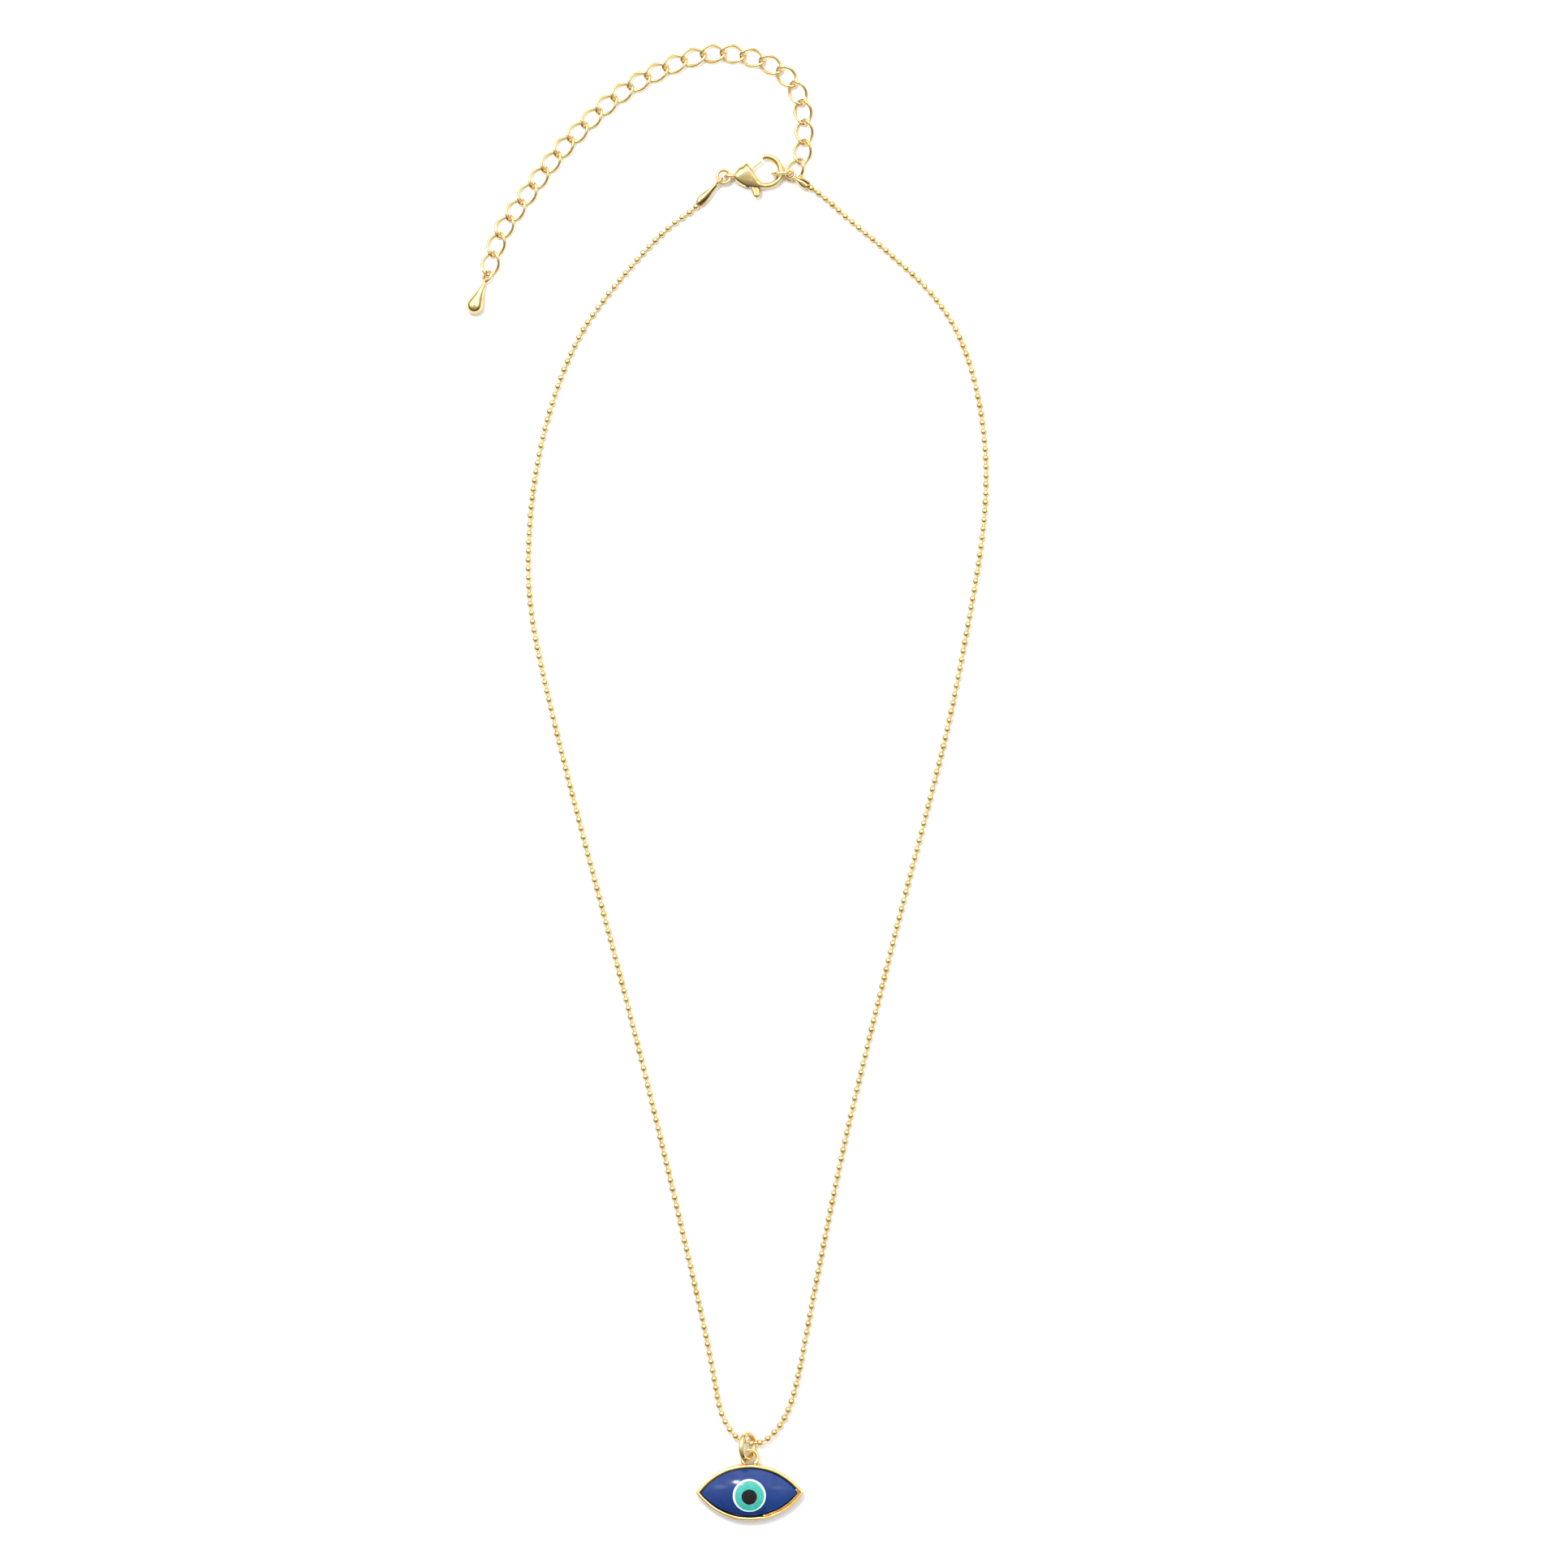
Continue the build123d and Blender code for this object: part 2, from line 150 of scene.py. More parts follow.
def end_swell(path: np.ndarray, rounding: float) -> np.ndarray:
    """Share of its full thickness that a bar has along its path, with quarter-round ends.

    Formula: within one rounding of an end, the height of a circle over that distance.

    Args:
        path: Points of the bar's centreline.
        rounding: How far from its end the bar has its full thickness.

    Returns:
        A share for each point.
    """
    steps = np.linalg.norm(np.diff(path, axis=0), axis=1)
    along = np.concatenate([[0.0], np.cumsum(steps)])
    to_end = np.minimum(along, along[-1] - along)
    share = np.clip(to_end / rounding, 0.0, 1.0)
    return np.sqrt(1 - (1 - share) ** 2)


@dataclass
class Skin:
    """A closed surface: corners in millimetres, and faces that index them and look outwards."""

    corners: np.ndarray
    faces: list[list[int]]

    def __add__(self, other: "Skin") -> "Skin":
        """Both skins as one, each still closed."""
        start = len(self.corners)
        moved = [[corner + start for corner in face] for face in other.faces]
        return Skin(np.vstack([self.corners, other.corners]), self.faces + moved)

    def middle(self) -> np.ndarray:
        """The middle of the skin's box."""
        return (self.corners.min(axis=0) + self.corners.max(axis=0)) / 2

    def placed(self, centre: Sequence[float], axes: np.ndarray) -> "Skin":
        """The skin with its own X, Y and Z turned to the rows of axes, about a new centre."""
        return Skin(self.corners @ np.asarray(axes) + np.asarray(centre), self.faces)


def skin(points: np.ndarray, ring: bool = False, ends: Ends = Ends.POLE) -> Skin:
    """Closes a grid of points into a skin that looks outwards.

    Args:
        points: Rows of points, each row a closed loop.
        ring: Whether the last row joins the first one.
        ends: How the first and last rows are closed if they don't join.

    Returns:
        The skin, turned round if the volume that it holds came out negative.
    """
    rows, columns = points.shape[:2]
    corners = points.reshape(-1, 3)
    index = np.arange(rows * columns).reshape(rows, columns)
    lower, upper = (index, np.roll(index, -1, axis=0)) if ring else (index[:-1], index[1:])
    quads = np.stack([lower, np.roll(lower, -1, axis=1), np.roll(upper, -1, axis=1), upper], -1)
    faces = [quads.reshape(-1, 4)]
    for row, turned in () if ring else ((index[0], True), (index[-1], False)):
        order = row[::-1] if turned else row
        if ends is Ends.POLE:
            pole = np.full(columns, len(corners))
            corners = np.vstack([corners, corners[row].mean(axis=0)])
            faces.append(np.stack([order, np.roll(order, -1), pole], -1))
        else:
            near, far = order[: columns // 2], order[::-1][: columns // 2]
            faces.append(np.stack([near[:-1], near[1:], far[1:], far[:-1]], -1))
    volume = 0.0
    for group in faces:
        first = corners[group[:, 0]]
        for step in range(1, group.shape[1] - 1):
            spun = np.cross(corners[group[:, step]], corners[group[:, step + 1]])
            volume += np.einsum("ij,ij->", first, spun)
    facing = 1 if volume > 0 else -1
    return Skin(corners, [face for group in faces for face in group[:, ::facing].tolist()])


def section(columns: int, squareness: float = 1.0) -> np.ndarray:
    """Closed loop of one unit half-width and half-height.

    Formula: the cosine and sine of an even turn, each raised to squareness with its sign kept.

    Args:
        columns: Points round the loop.
        squareness: 1 for an ellipse, less for a rounded box, more for a rounded diamond.

    Returns:
        Points across and up.
    """
    turn = 2 * pi * (np.arange(columns) + 0.5) / columns
    flat = np.stack([np.cos(turn), np.sin(turn)], -1)
    return np.sign(flat) * np.abs(flat) ** squareness


def sweep(
    path: np.ndarray,
    half_across: np.ndarray | float,
    half_high: np.ndarray | float,
    normals: Sequence[float] | np.ndarray = UP,
    ring: bool = False,
    columns: int = 24,
    squareness: float = 1.0,
) -> Skin:
    """Carries a section along a path.

    Formula: at each row the section's height follows the normal, and its width follows the direction square
    to both the path and the normal.

    Args:
        path: Points of the centreline.
        half_across: Half the width at each row, or all along.
        half_high: Half the height at each row, or all along.
        normals: The height's direction at each row, or all along.
        ring: Whether the path closes on itself.
        columns: Points round the section.
        squareness: The section's shape.

    Returns:
        The swept skin.
    """
    if ring:
        along = np.roll(path, -1, axis=0) - np.roll(path, 1, axis=0)
    else:
        along = np.gradient(path, axis=0)
    across = unit(np.cross(normals, along))
    high = unit(np.cross(along, across))
    count = len(path)
    wide = np.broadcast_to(half_across, count)[:, None, None]
    tall = np.broadcast_to(half_high, count)[:, None, None]
    loop = section(columns, squareness)
    points = path[:, None] + across[:, None] * loop[:, :1] * wide + high[:, None] * loop[:, 1:] * tall
    return skin(points, ring=ring)


def turned(profile: np.ndarray, columns: int = 64) -> Skin:
    """Solid of revolution about its own Z.

    Formula: each row is a circle of that row's radius at that row's height.

    Args:
        profile: Rows of radius and height.
        columns: Points round each circle.

    Returns:
        The solid's skin.
    """
    turn = 2 * pi * np.arange(columns) / columns
    round_row = np.stack([np.cos(turn), np.sin(turn), np.zeros(columns)], -1)
    points = profile[:, None, :1] * round_row + profile[:, None, 1:] * np.array(UP)
    return skin(points)


def axes_of(x_axis: Sequence[float], z_axis: Sequence[float]) -> np.ndarray:
    """Axes of a frame with one exact and one wished direction.

    Args:
        x_axis: Where X should point, as nearly as it can.
        z_axis: Where Z points.

    Returns:
        Rows X, Y and Z, each one unit long.
    """
    third = unit(np.asarray(z_axis, float))
    second = unit(np.cross(third, np.asarray(x_axis, float)))
    return np.stack([np.cross(second, third), second, third])


def heading(angle: float) -> np.ndarray:
    """Unit vector in the table's plane, at an angle in degrees from +X."""
    return np.array([cos(radians(angle)), sin(radians(angle)), 0.0])


@dataclass(frozen=True)
class JumpRing:
    """Ring bent from round wire and closed by bringing its two sawn ends together."""

    radius: float
    wire: float
    seam_at: float
    seam_gap: float = 0.03
    edge_break: float = 0.05
    rows: int = 120

    def skin(self, centre: Sequence[float], normal: Sequence[float], toward: Sequence[float]) -> Skin:
        """The ring in place.

        Formula: wire carried round a circle that stops half a gap from the seam at each end, with its sharp
        ends broken.

        Args:
            centre: The ring's centre.
            normal: The direction square to the ring.
            toward: The direction from which the seam's angle is counted.

        Returns:
            The ring's skin.
        """
        gap = self.seam_gap / self.radius
        share = tight_ends(self.rows, 1.0 / self.rows)
        turn = radians(self.seam_at) + gap / 2 + (2 * pi - gap) * share
        path = self.radius * np.stack([np.cos(turn), np.sin(turn), np.zeros_like(turn)], -1)
        swell = end_swell(path, self.edge_break)
        half = self.wire / 2 * (0.86 + 0.14 * swell)
        return sweep(path, half, half).placed(centre, axes_of(toward, normal))


# ---------------------------------------------------------------- finishes


NOISE = "ShaderNodeTexNoise"
SPAN = "ShaderNodeMapRange"
BUMP = "ShaderNodeBump"
BLEND = "ShaderNodeMix"
SMOOTH = {"interpolation_type": "SMOOTHSTEP"}
COLOURS = {"data_type": "RGBA"}
MIX_A, MIX_B, MIX_RESULT = 6, 7, 2


def linear(colour: str) -> tuple[float, float, float, float]:
    """An sRGB hex colour as linear light, opaque."""
    parts = [int(colour[start : start + 2], 16) / 255 for start in (1, 3, 5)]
    light = [part / 12.92 if part <= 0.04045 else ((part + 0.055) / 1.055) ** 2.4 for part in parts]
    return (light[0], light[1], light[2], 1.0)


def add_node(
    tree: bpy.types.NodeTree,
    kind: str,
    settings: Optional[dict[str, Any]] = None,
    inputs: Optional[dict[Any, Any]] = None,
) -> bpy.types.Node:
    """Adds one node.

    Args:
        tree: The tree that it goes into.
        kind: The node's type name.
        settings: Properties to set, by name.
        inputs: Values or output sockets for its inputs, by name or number.

    Returns:
        The node.
    """
    node = tree.nodes.new(kind)
    for name, value in (settings or {}).items():
        setattr(node, name, value)
    for name, value in (inputs or {}).items():
        if isinstance(value, bpy.types.NodeSocket):
            tree.links.new(value, node.inputs[name])
        else:
            node.inputs[name].default_value = value
    return node


def start_material(name: str, sockets: dict[str, Any]) -> tuple[bpy.types.Material, bpy.types.Node]:
    """Starts a material.

    Args:
        name: The material's name.
        sockets: The values that are the same all over it, by the shader's sockets.

    Returns:
        The material and its shader.
    """
    material = bpy.data.materials.new(name)
    material.use_nodes = True
    shader = material.node_tree.nodes["Principled BSDF"]
    for socket, value in sockets.items():
        shader.inputs[socket].default_value = value
    return material, shader


def connect(
    tree: bpy.types.NodeTree,
    shader: bpy.types.Node,
    colour: bpy.types.Node,
    rough: bpy.types.Node,
    relief: bpy.types.Node,
) -> None:
    """Joins a finish's last nodes to its shader.

    Args:
        tree: The material's tree.
        shader: The shader in it.
        colour: The node that blends the colours.
        rough: The node that gives the roughness.
        relief: The last bump.
    """
    tree.links.new(colour.outputs[MIX_RESULT], shader.inputs["Base Color"])
    tree.links.new(rough.outputs["Result"], shader.inputs["Roughness"])
    tree.links.new(relief.outputs["Normal"], shader.inputs["Normal"])


@dataclass(frozen=True)
class GoldPlate:
    """Bright gold electroplated on brass: its colour is all in its reflections, which saturate in hollows.

    Patch, ripple and scratch are sizes of patterns, and relief and scratch_depth are heights, in millimetres.
    """

    slot: Slot
    colour: str = "#ead093"
    thin: str = "#dfbb74"
    roughness: float = 0.11
    dulled: float = 0.2
    patch: float = 1.6
    ripple: float = 0.9
    relief: float = 0.012
    scratch: float = 0.32
    scratch_depth: float = 0.0016
    scratch_stretch: float = 0.22
    scratch_turn: float = 0.6

    def material(self) -> bpy.types.Material:
        """Colour by plating thickness, roughness by handling, relief by the shape under the plate.

        Patches of thinner plate are warmer and duller. The ripple is the brass before plating. The scratches
        are the barrel polish, which is too fine to show and so is drawn coarser.

        Returns:
            The material.
        """
        material, shader = start_material(self.slot.value, {"Metallic": 1.0})
        tree = material.node_tree
        place = add_node(tree, "ShaderNodeTexCoord").outputs["Object"]
        patch = add_node(tree, NOISE, {}, {"Vector": place, "Scale": 1 / (self.patch * MM), "Detail": 3.0})
        worn = patch.outputs["Fac"]
        plate = add_node(tree, SPAN, SMOOTH, {"Value": worn, "From Min": 0.42, "From Max": 0.72})
        tones = {0: plate.outputs["Result"], MIX_A: linear(self.colour), MIX_B: linear(self.thin)}
        colour = add_node(tree, BLEND, COLOURS, tones)
        handling = {"From Min": 0.3, "From Max": 0.75, "To Min": self.roughness, "To Max": self.dulled}
        dull = add_node(tree, SPAN, {}, {"Value": worn} | handling)
        ripple = add_node(tree, NOISE, {}, {"Vector": place, "Scale": 1 / (self.ripple * MM), "Detail": 1.0})
        soft = add_node(tree, BUMP, {}, {"Height": ripple.outputs["Fac"], "Distance": self.relief * MM})
        drawn = {"Rotation": (0.0, 0.0, self.scratch_turn), "Scale": (1.0, self.scratch_stretch, 1.0)}
        lines = add_node(tree, "ShaderNodeMapping", {}, {"Vector": place} | drawn).outputs["Vector"]
        spacing = {"Scale": 1 / (self.scratch * MM), "Detail": 4.0}
        scratch = add_node(tree, NOISE, {}, {"Vector": lines} | spacing)
        height = {"Height": scratch.outputs["Fac"], "Distance": self.scratch_depth * MM}
        fine = add_node(tree, BUMP, {}, height | {"Normal": soft.outputs["Normal"]})
        connect(tree, shader, colour, dull, fine)
        return material


@dataclass(frozen=True)
class MoltenGlass:
    """Opaque soda glass, melted and fire-polished: a deep colour under a clear gloss, with soft swirls.

    Swirl and bubble are sizes of patterns, pit is a depth and scatter is how far light goes in, in
    millimetres. The gloss starts from plain soda glass and is matched lower, because the polish is a little
    hazy.
    """

    slot: Slot
    colour: str
    swirled: str
    swirl: float = 2.2
    roughness: float = 0.07
    haze: float = 2.2
    bubble: float = 0.6
    pit: float = 0.0012
    depth: float = 0.0
    scatter: float = 0.4
    gloss: float = 0.2
    ior: float = 1.52

    def material(self) -> bpy.types.Material:
        """Swirls of a second tone, and a skin with the faintest pits where bubbles broke.

        Returns:
            The material.
        """
        uniform = {"IOR": self.ior, "Specular IOR Level": self.gloss}
        inside = {"Subsurface Weight": self.depth, "Subsurface Scale": self.scatter * MM}
        material, shader = start_material(self.slot.value, uniform | inside)
        tree = material.node_tree
        place = add_node(tree, "ShaderNodeTexCoord").outputs["Object"]
        eddies = {"Scale": 1 / (self.swirl * MM), "Detail": 3.0, "Distortion": 1.4}
        swirl = add_node(tree, NOISE, {}, {"Vector": place} | eddies).outputs["Fac"]
        tone = add_node(tree, SPAN, SMOOTH, {"Value": swirl, "From Min": 0.35, "From Max": 0.68})
        tones = {0: tone.outputs["Result"], MIX_A: linear(self.colour), MIX_B: linear(self.swirled)}
        colour = add_node(tree, BLEND, COLOURS, tones)
        polish = {"To Min": self.roughness, "To Max": self.haze * self.roughness}
        rough = add_node(tree, SPAN, {}, {"Value": swirl} | polish)
        cells = add_node(tree, "ShaderNodeTexVoronoi", {}, {"Vector": place, "Scale": 1 / (self.bubble * MM)})
        pit = {"Value": cells.outputs["Distance"], "From Min": 0.04, "From Max": 0.2}
        pits = add_node(tree, SPAN, SMOOTH, pit).outputs["Result"]
        relief = add_node(tree, BUMP, {}, {"Height": pits, "Distance": self.pit * MM})
        connect(tree, shader, colour, rough, relief)
        return material


@dataclass(frozen=True)
class PlainFinish:
    """A finish with one grain, in millimetres: cured epoxy, drawn spring wire, or coated card."""

    name: str
    colour: str
    shade: str
    metallic: float
    roughness: float
    grain: float
    relief: float
    swing: float = 0.2

    def material(self) -> bpy.types.Material:
        """Two tones, a roughness and a relief, all from one noise of the grain's size.

        Returns:
            The material.
        """
        material, shader = start_material(self.name, {"Metallic": self.metallic})
        tree = material.node_tree
        place = add_node(tree, "ShaderNodeTexCoord").outputs["Object"]
        noise = add_node(tree, NOISE, {}, {"Vector": place, "Scale": 1 / (self.grain * MM), "Detail": 4.0})
        grain = noise.outputs["Fac"]
        tones = {0: grain, MIX_A: linear(self.colour), MIX_B: linear(self.shade)}
        colour = add_node(tree, BLEND, COLOURS, tones)
        least, most = (1 - self.swing) * self.roughness, (1 + self.swing) * self.roughness
        rough = add_node(tree, SPAN, {}, {"Value": grain, "To Min": least, "To Max": most})
        relief = add_node(tree, BUMP, {}, {"Height": grain, "Distance": self.relief * MM})
        connect(tree, shader, colour, rough, relief)
        return material


def all_finishes() -> dict[Slot, bpy.types.Material]:
    """Every slot's material.

    Returns:
        The materials by slot.
    """
    plates = [
        GoldPlate(Slot.CHAIN, roughness=0.1, dulled=0.22, patch=2.4, ripple=0.5, relief=0.03),
        GoldPlate(Slot.CLASP, roughness=0.09, dulled=0.17, ripple=1.3, relief=0.007),
        GoldPlate(Slot.RING, roughness=0.1, dulled=0.19),
        GoldPlate(Slot.SETTING, roughness=0.13, dulled=0.26, ripple=0.7, relief=0.022),
        GoldPlate(Slot.EXTENDER, roughness=0.1, dulled=0.2, patch=1.2),
    ]
    glasses = [
        MoltenGlass(Slot.BLUE, colour="#17326c", swirled="#1d3976", swirl=3.2, roughness=0.09),
        MoltenGlass(Slot.WHITE, colour="#e6f6fa", swirled="#d2ecf2", swirl=0.8, depth=0.15),
        MoltenGlass(Slot.TURQUOISE, colour="#40a395", swirled="#4db0a2", swirl=1.4, depth=0.1),
        MoltenGlass(Slot.BLACK, colour="#161315", swirled="#1d1a1c", swirl=0.9),
    ]
    plain = {
        Slot.ADHESIVE: PlainFinish("cured_epoxy", "#4a3d22", "#2e2615", 0.0, 0.25, 0.8, 0.02),
        Slot.SPRING: PlainFinish("drawn_steel", "#c9c6c0", "#a5a29c", 1.0, 0.3, 0.3, 0.003),
    }
    finished = {finish.slot: finish.material() for finish in plates + glasses}
    return finished | {slot: finish.material() for slot, finish in plain.items()}


# ---------------------------------------------------------------- the workshop


@dataclass
class Workshop:
    """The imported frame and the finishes, and how a skin becomes a piece on them."""

    frame: dict[str, Any]
    finishes: dict[Slot, bpy.types.Material]

    def body_of(self, node: str) -> str:
        """The body that a node of the frame belongs to."""
        bodies = self.frame["record"]["behaviour"]["bodies"]
        return next(body for body, members in bodies.items() if node in members)

    def centre(self, node: str) -> np.ndarray:
        """The middle of a node's box, in millimetres."""
        low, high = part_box(node)
        return np.array((low + high) / 2) / MM

    def size(self, node: str) -> np.ndarray:
        """The sides of a node's box, in millimetres."""
        low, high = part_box(node)
        return np.array(high - low) / MM

    def joint_at(self, name: str) -> np.ndarray:
        """A joint's place in millimetres."""
        joint = next(joint for joint in self.frame["joints"] if joint["name"] == name)
        return np.array(joint["pos_m"]) / MM

    def shape(self, name: str, surface: Skin, crease: float) -> bpy.types.Object:
        """Makes a skin an object that is still in millimetres.

        Args:
            name: The object's name.
            surface: Its skin.
            crease: The least angle in degrees that shows as an edge.

        Returns:
            The object.
        """
        mesh = bpy.data.meshes.new(name)
        mesh.from_pydata(surface.corners.tolist(), [], surface.faces)
        mesh.polygons.foreach_set("use_smooth", np.full(len(mesh.polygons), crease > 0))
        mesh.set_sharp_from_angle(angle=radians(crease))
        shown = bpy.data.objects.new(name, mesh)
        bpy.context.scene.collection.objects.link(shown)
        return shown

    def carved(self, shown: bpy.types.Object, cutters: Sequence[Skin], crease: float) -> None:
        """Cuts closed skins out of an object that is still in millimetres.

        Args:
            shown: The object.
            cutters: The skins to cut out.
            crease: The least angle in degrees that shows as an edge.
        """
        tools = [self.shape(f"cutter_{number}", cutter, crease) for number, cutter in enumerate(cutters)]
        for tool in tools:
            cut = shown.modifiers.new(tool.name, "BOOLEAN")
            cut.object = tool
        graph = bpy.context.evaluated_depsgraph_get()
        mesh = bpy.data.meshes.new_from_object(shown.evaluated_get(graph))
        shown.modifiers.clear()
        shown.data = mesh
        mesh.set_sharp_from_angle(angle=radians(crease))
        for tool in tools:
            bpy.data.objects.remove(tool)

    def fit(self, shown: bpy.types.Object, slot: Slot, nodes: Sequence[str]) -> bpy.types.Object:
        """Brings a shape to metres, dresses it, and puts it on the body of the nodes that it stands for.

        Args:
            shown: The object in millimetres.
            slot: Its finish.
            nodes: The frame's nodes that it stands for.

        Returns:
            The same object.
        """
        shown.data.transform(Matrix.Scale(MM, 4))
        shown.data.materials.clear()
        shown.data.materials.append(self.finishes[slot])
        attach(shown, self.body_of(nodes[0]))
        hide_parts(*nodes)
        LOG.info("%s: %d faces, for %s", shown.name, len(shown.data.polygons), ", ".join(nodes))
        return shown

    def piece(
        self, name: str, surface: Skin, slot: Slot, nodes: Sequence[str], crease: float = 42.0
    ) -> bpy.types.Object:
        """A skin made into a finished piece.

        Args:
            name: The piece's name.
            surface: Its skin in millimetres.
            slot: Its finish.
            nodes: The frame's nodes that it stands for.
            crease: The least angle in degrees that shows as an edge.

        Returns:
            The piece.
        """
        return self.fit(self.shape(name, surface, crease), slot, nodes)

    def dress(self, node: str, slot: Slot) -> None:
        """Gives its finish to a node that is shown as it is.

        Args:
            node: The node.
            slot: Its finish.
        """
        mesh = self.frame["nodes"][node].data
        mesh.materials.clear()
        mesh.materials.append(self.finishes[slot])
        LOG.info("%s: dressed as %s", node, slot.value)


# ---------------------------------------------------------------- pendant


@dataclass(frozen=True)
class Marquise:
    """Outline of two equal arcs that meet in rounded tips, as columns of points round it."""

    length: float
    width: float
    arc_columns: int = 170
    tip_columns: int = 14

    def columns(self) -> int:
        """How many points go round."""
        return 2 * (self.arc_columns + self.tip_columns)

    def outline(self, inset: np.ndarray | float, tip: float) -> np.ndarray:
        """The outline moved in by inset.

        Formula: the point whose outward normal makes a given angle with +Y lies one arc radius from its arc's
        centre, and at a tip one tip radius from the point where both arcs, moved in by that radius, cross.

        Args:
            inset: How far in from the outside, for each column or for all.
            tip: The tips' radius.

        Returns:
            Points in the plane, one for each column, from the right tip over the top.
        """
        half_length, half_width = self.length / 2, self.width / 2
        arc = (half_length**2 + half_width**2) / (2 * half_width)
        offset = arc - half_width
        reach = arc - np.broadcast_to(inset, self.columns())
        tip_x = np.sqrt((reach - tip) ** 2 - offset**2)
        lean = np.arcsin(tip_x / (reach - tip))
        counts = [self.arc_columns, self.tip_columns] * 2
        share = np.concatenate([np.arange(count) / count for count in counts])
        part = np.repeat(np.arange(4), counts)
        start = np.choose(part, [lean, -lean, lean - pi, -lean - pi])
        end = np.choose(part, [-lean, lean - pi, -lean - pi, lean - 2 * pi])
        angle = start + (end - start) * share
        radius = np.where(part % 2 == 0, reach, tip)
        centre_x = np.choose(part, [0 * tip_x, -tip_x, 0 * tip_x, tip_x])
        centre_y = np.choose(part, [-offset, 0.0, offset, 0.0])
        return np.stack([centre_x + radius * np.sin(angle), centre_y + radius * np.cos(angle)], -1)


def bell(values: np.ndarray, middle: float, spread: float) -> np.ndarray:
    """Smooth bump of height one about a middle value."""
    return np.exp(-(((values - middle) / spread) ** 2))


@dataclass(frozen=True)
class Setting:
    """Cast cup with a soft lip that was hammered down on the stone, and a fold inside its lower right."""

    tip: float = 0.35
    inner_tip: float = 0.05
    lip: tuple[Flat, ...] = (
        (0.0, 0.3), (0.0, 1.2), (0.015, 1.6), (0.06, 1.8), (0.15, 1.93), (0.27, 1.985), (0.4, 1.98),
        (0.52, 1.9), (0.61, 1.76), (0.65, 1.55), (0.66, 1.2), (0.66, 0.62),
    )
    folded_lip: tuple[Flat, ...] = (
        (0.0, 0.3), (0.0, 1.2), (0.015, 1.6), (0.05, 1.82), (0.14, 1.96), (0.26, 1.98), (0.35, 1.86),
        (0.44, 1.58), (0.53, 1.58), (0.62, 1.86), (0.75, 1.9), (0.8, 0.62),
    )
    back: tuple[Flat, ...] = ((0.5, 0.0), (0.22, 0.0), (0.1, 0.02), (0.03, 0.09))
    floor: Flat = (1.1, 0.6)
    lip_rows: int = 60
    waver: float = 0.022
    dent: float = 0.075
    dent_pitch: float = 0.36
    dents_on_top: Flat = (-0.7, 2.9)
    dents_below: tuple[Flat, ...] = ((-1.5, 0.9), (2.7, 0.6))
    lip_crest: Flat = (0.3, 0.25)
    lip_foot: float = 1.5
    settled: float = 0.02
    fold_start: float = 1.8
    fold_run: float = 1.1
    fold_level: float = -0.05
    fold_at_tip: Flat = (8.2, 0.5)

    def skin(self, shape: Marquise) -> Skin:
        """The cup, from the middle of its back over the lip to the middle of its floor.

        Formula: a profile of inset and height carried round the marquise. Towards the lower right the profile
        turns into the folded one, the inset wavers with the angle, and rows of uneven dents cross the lip at
        the middle of its top and bottom.

        Args:
            shape: The marquise that it follows.

        Returns:
            The cup's skin.
        """
        bare = shape.outline(0.0, self.tip)
        x, y = bare[:, 0], bare[:, 1]
        turn = np.arctan2(2 * y, x)
        below = y < self.fold_level
        folded = self.fold_share(x) * below + bell(x, *self.fold_at_tip) * ~below
        plain_rows = through(self.lip, self.lip_rows)
        folded_rows = through(self.folded_lip, self.lip_rows)
        rows = plain_rows[:, None] + np.clip(folded, 0, 1)[:, None] * (folded_rows - plain_rows)[:, None]
        waver = self.waver * (np.sin(5 * turn + 0.7) + 0.6 * np.sin(11 * turn) + 0.4 * np.sin(23 * turn + 2))
        struck_below = sum(bell(x, *run) for run in self.dents_below)
        struck = bell(x, *self.dents_on_top) * (y > 0) + struck_below * (y < 0)
        teeth = 0.5 + 0.5 * np.sin(2 * pi * x / self.dent_pitch + 1.3 * np.sin(2.1 * x))
        on_lip = bell(rows[:, :, 0], *self.lip_crest) * (rows[:, :, 1] > self.lip_foot)
        heights = rows[:, :, 1] - self.dent * struck * teeth**3 * on_lip
        heights = heights - self.settled * on_lip * (1 + np.sin(7 * turn + 1))
        lying = [self.flat_row(shape, inset, height) for inset, height in self.back]
        for row in range(self.lip_rows):
            share = row / (self.lip_rows - 1)
            inset = rows[row, :, 0] + (waver + self.waver) * (1 - 0.4 * share)
            tip = self.tip + (self.inner_tip - self.tip) * share
            lying.append(np.column_stack([shape.outline(inset, tip), heights[row]]))
        lying.append(self.flat_row(shape, *self.floor))
        return skin(np.stack(lying))

    def fold_share(self, x: np.ndarray) -> np.ndarray:
        """How far the lip has turned into the folded one, which runs on into the right tip."""
        share = np.clip((x - self.fold_start) / self.fold_run, 0.0, 1.0)
        return share**2 * (3 - 2 * share)

    def flat_row(self, shape: Marquise, inset: float, height: float) -> np.ndarray:
        """One level row of the cup."""
        tip = max(self.tip - inset, self.inner_tip)
        return np.column_stack([shape.outline(inset, tip), np.full(shape.columns(), height)])


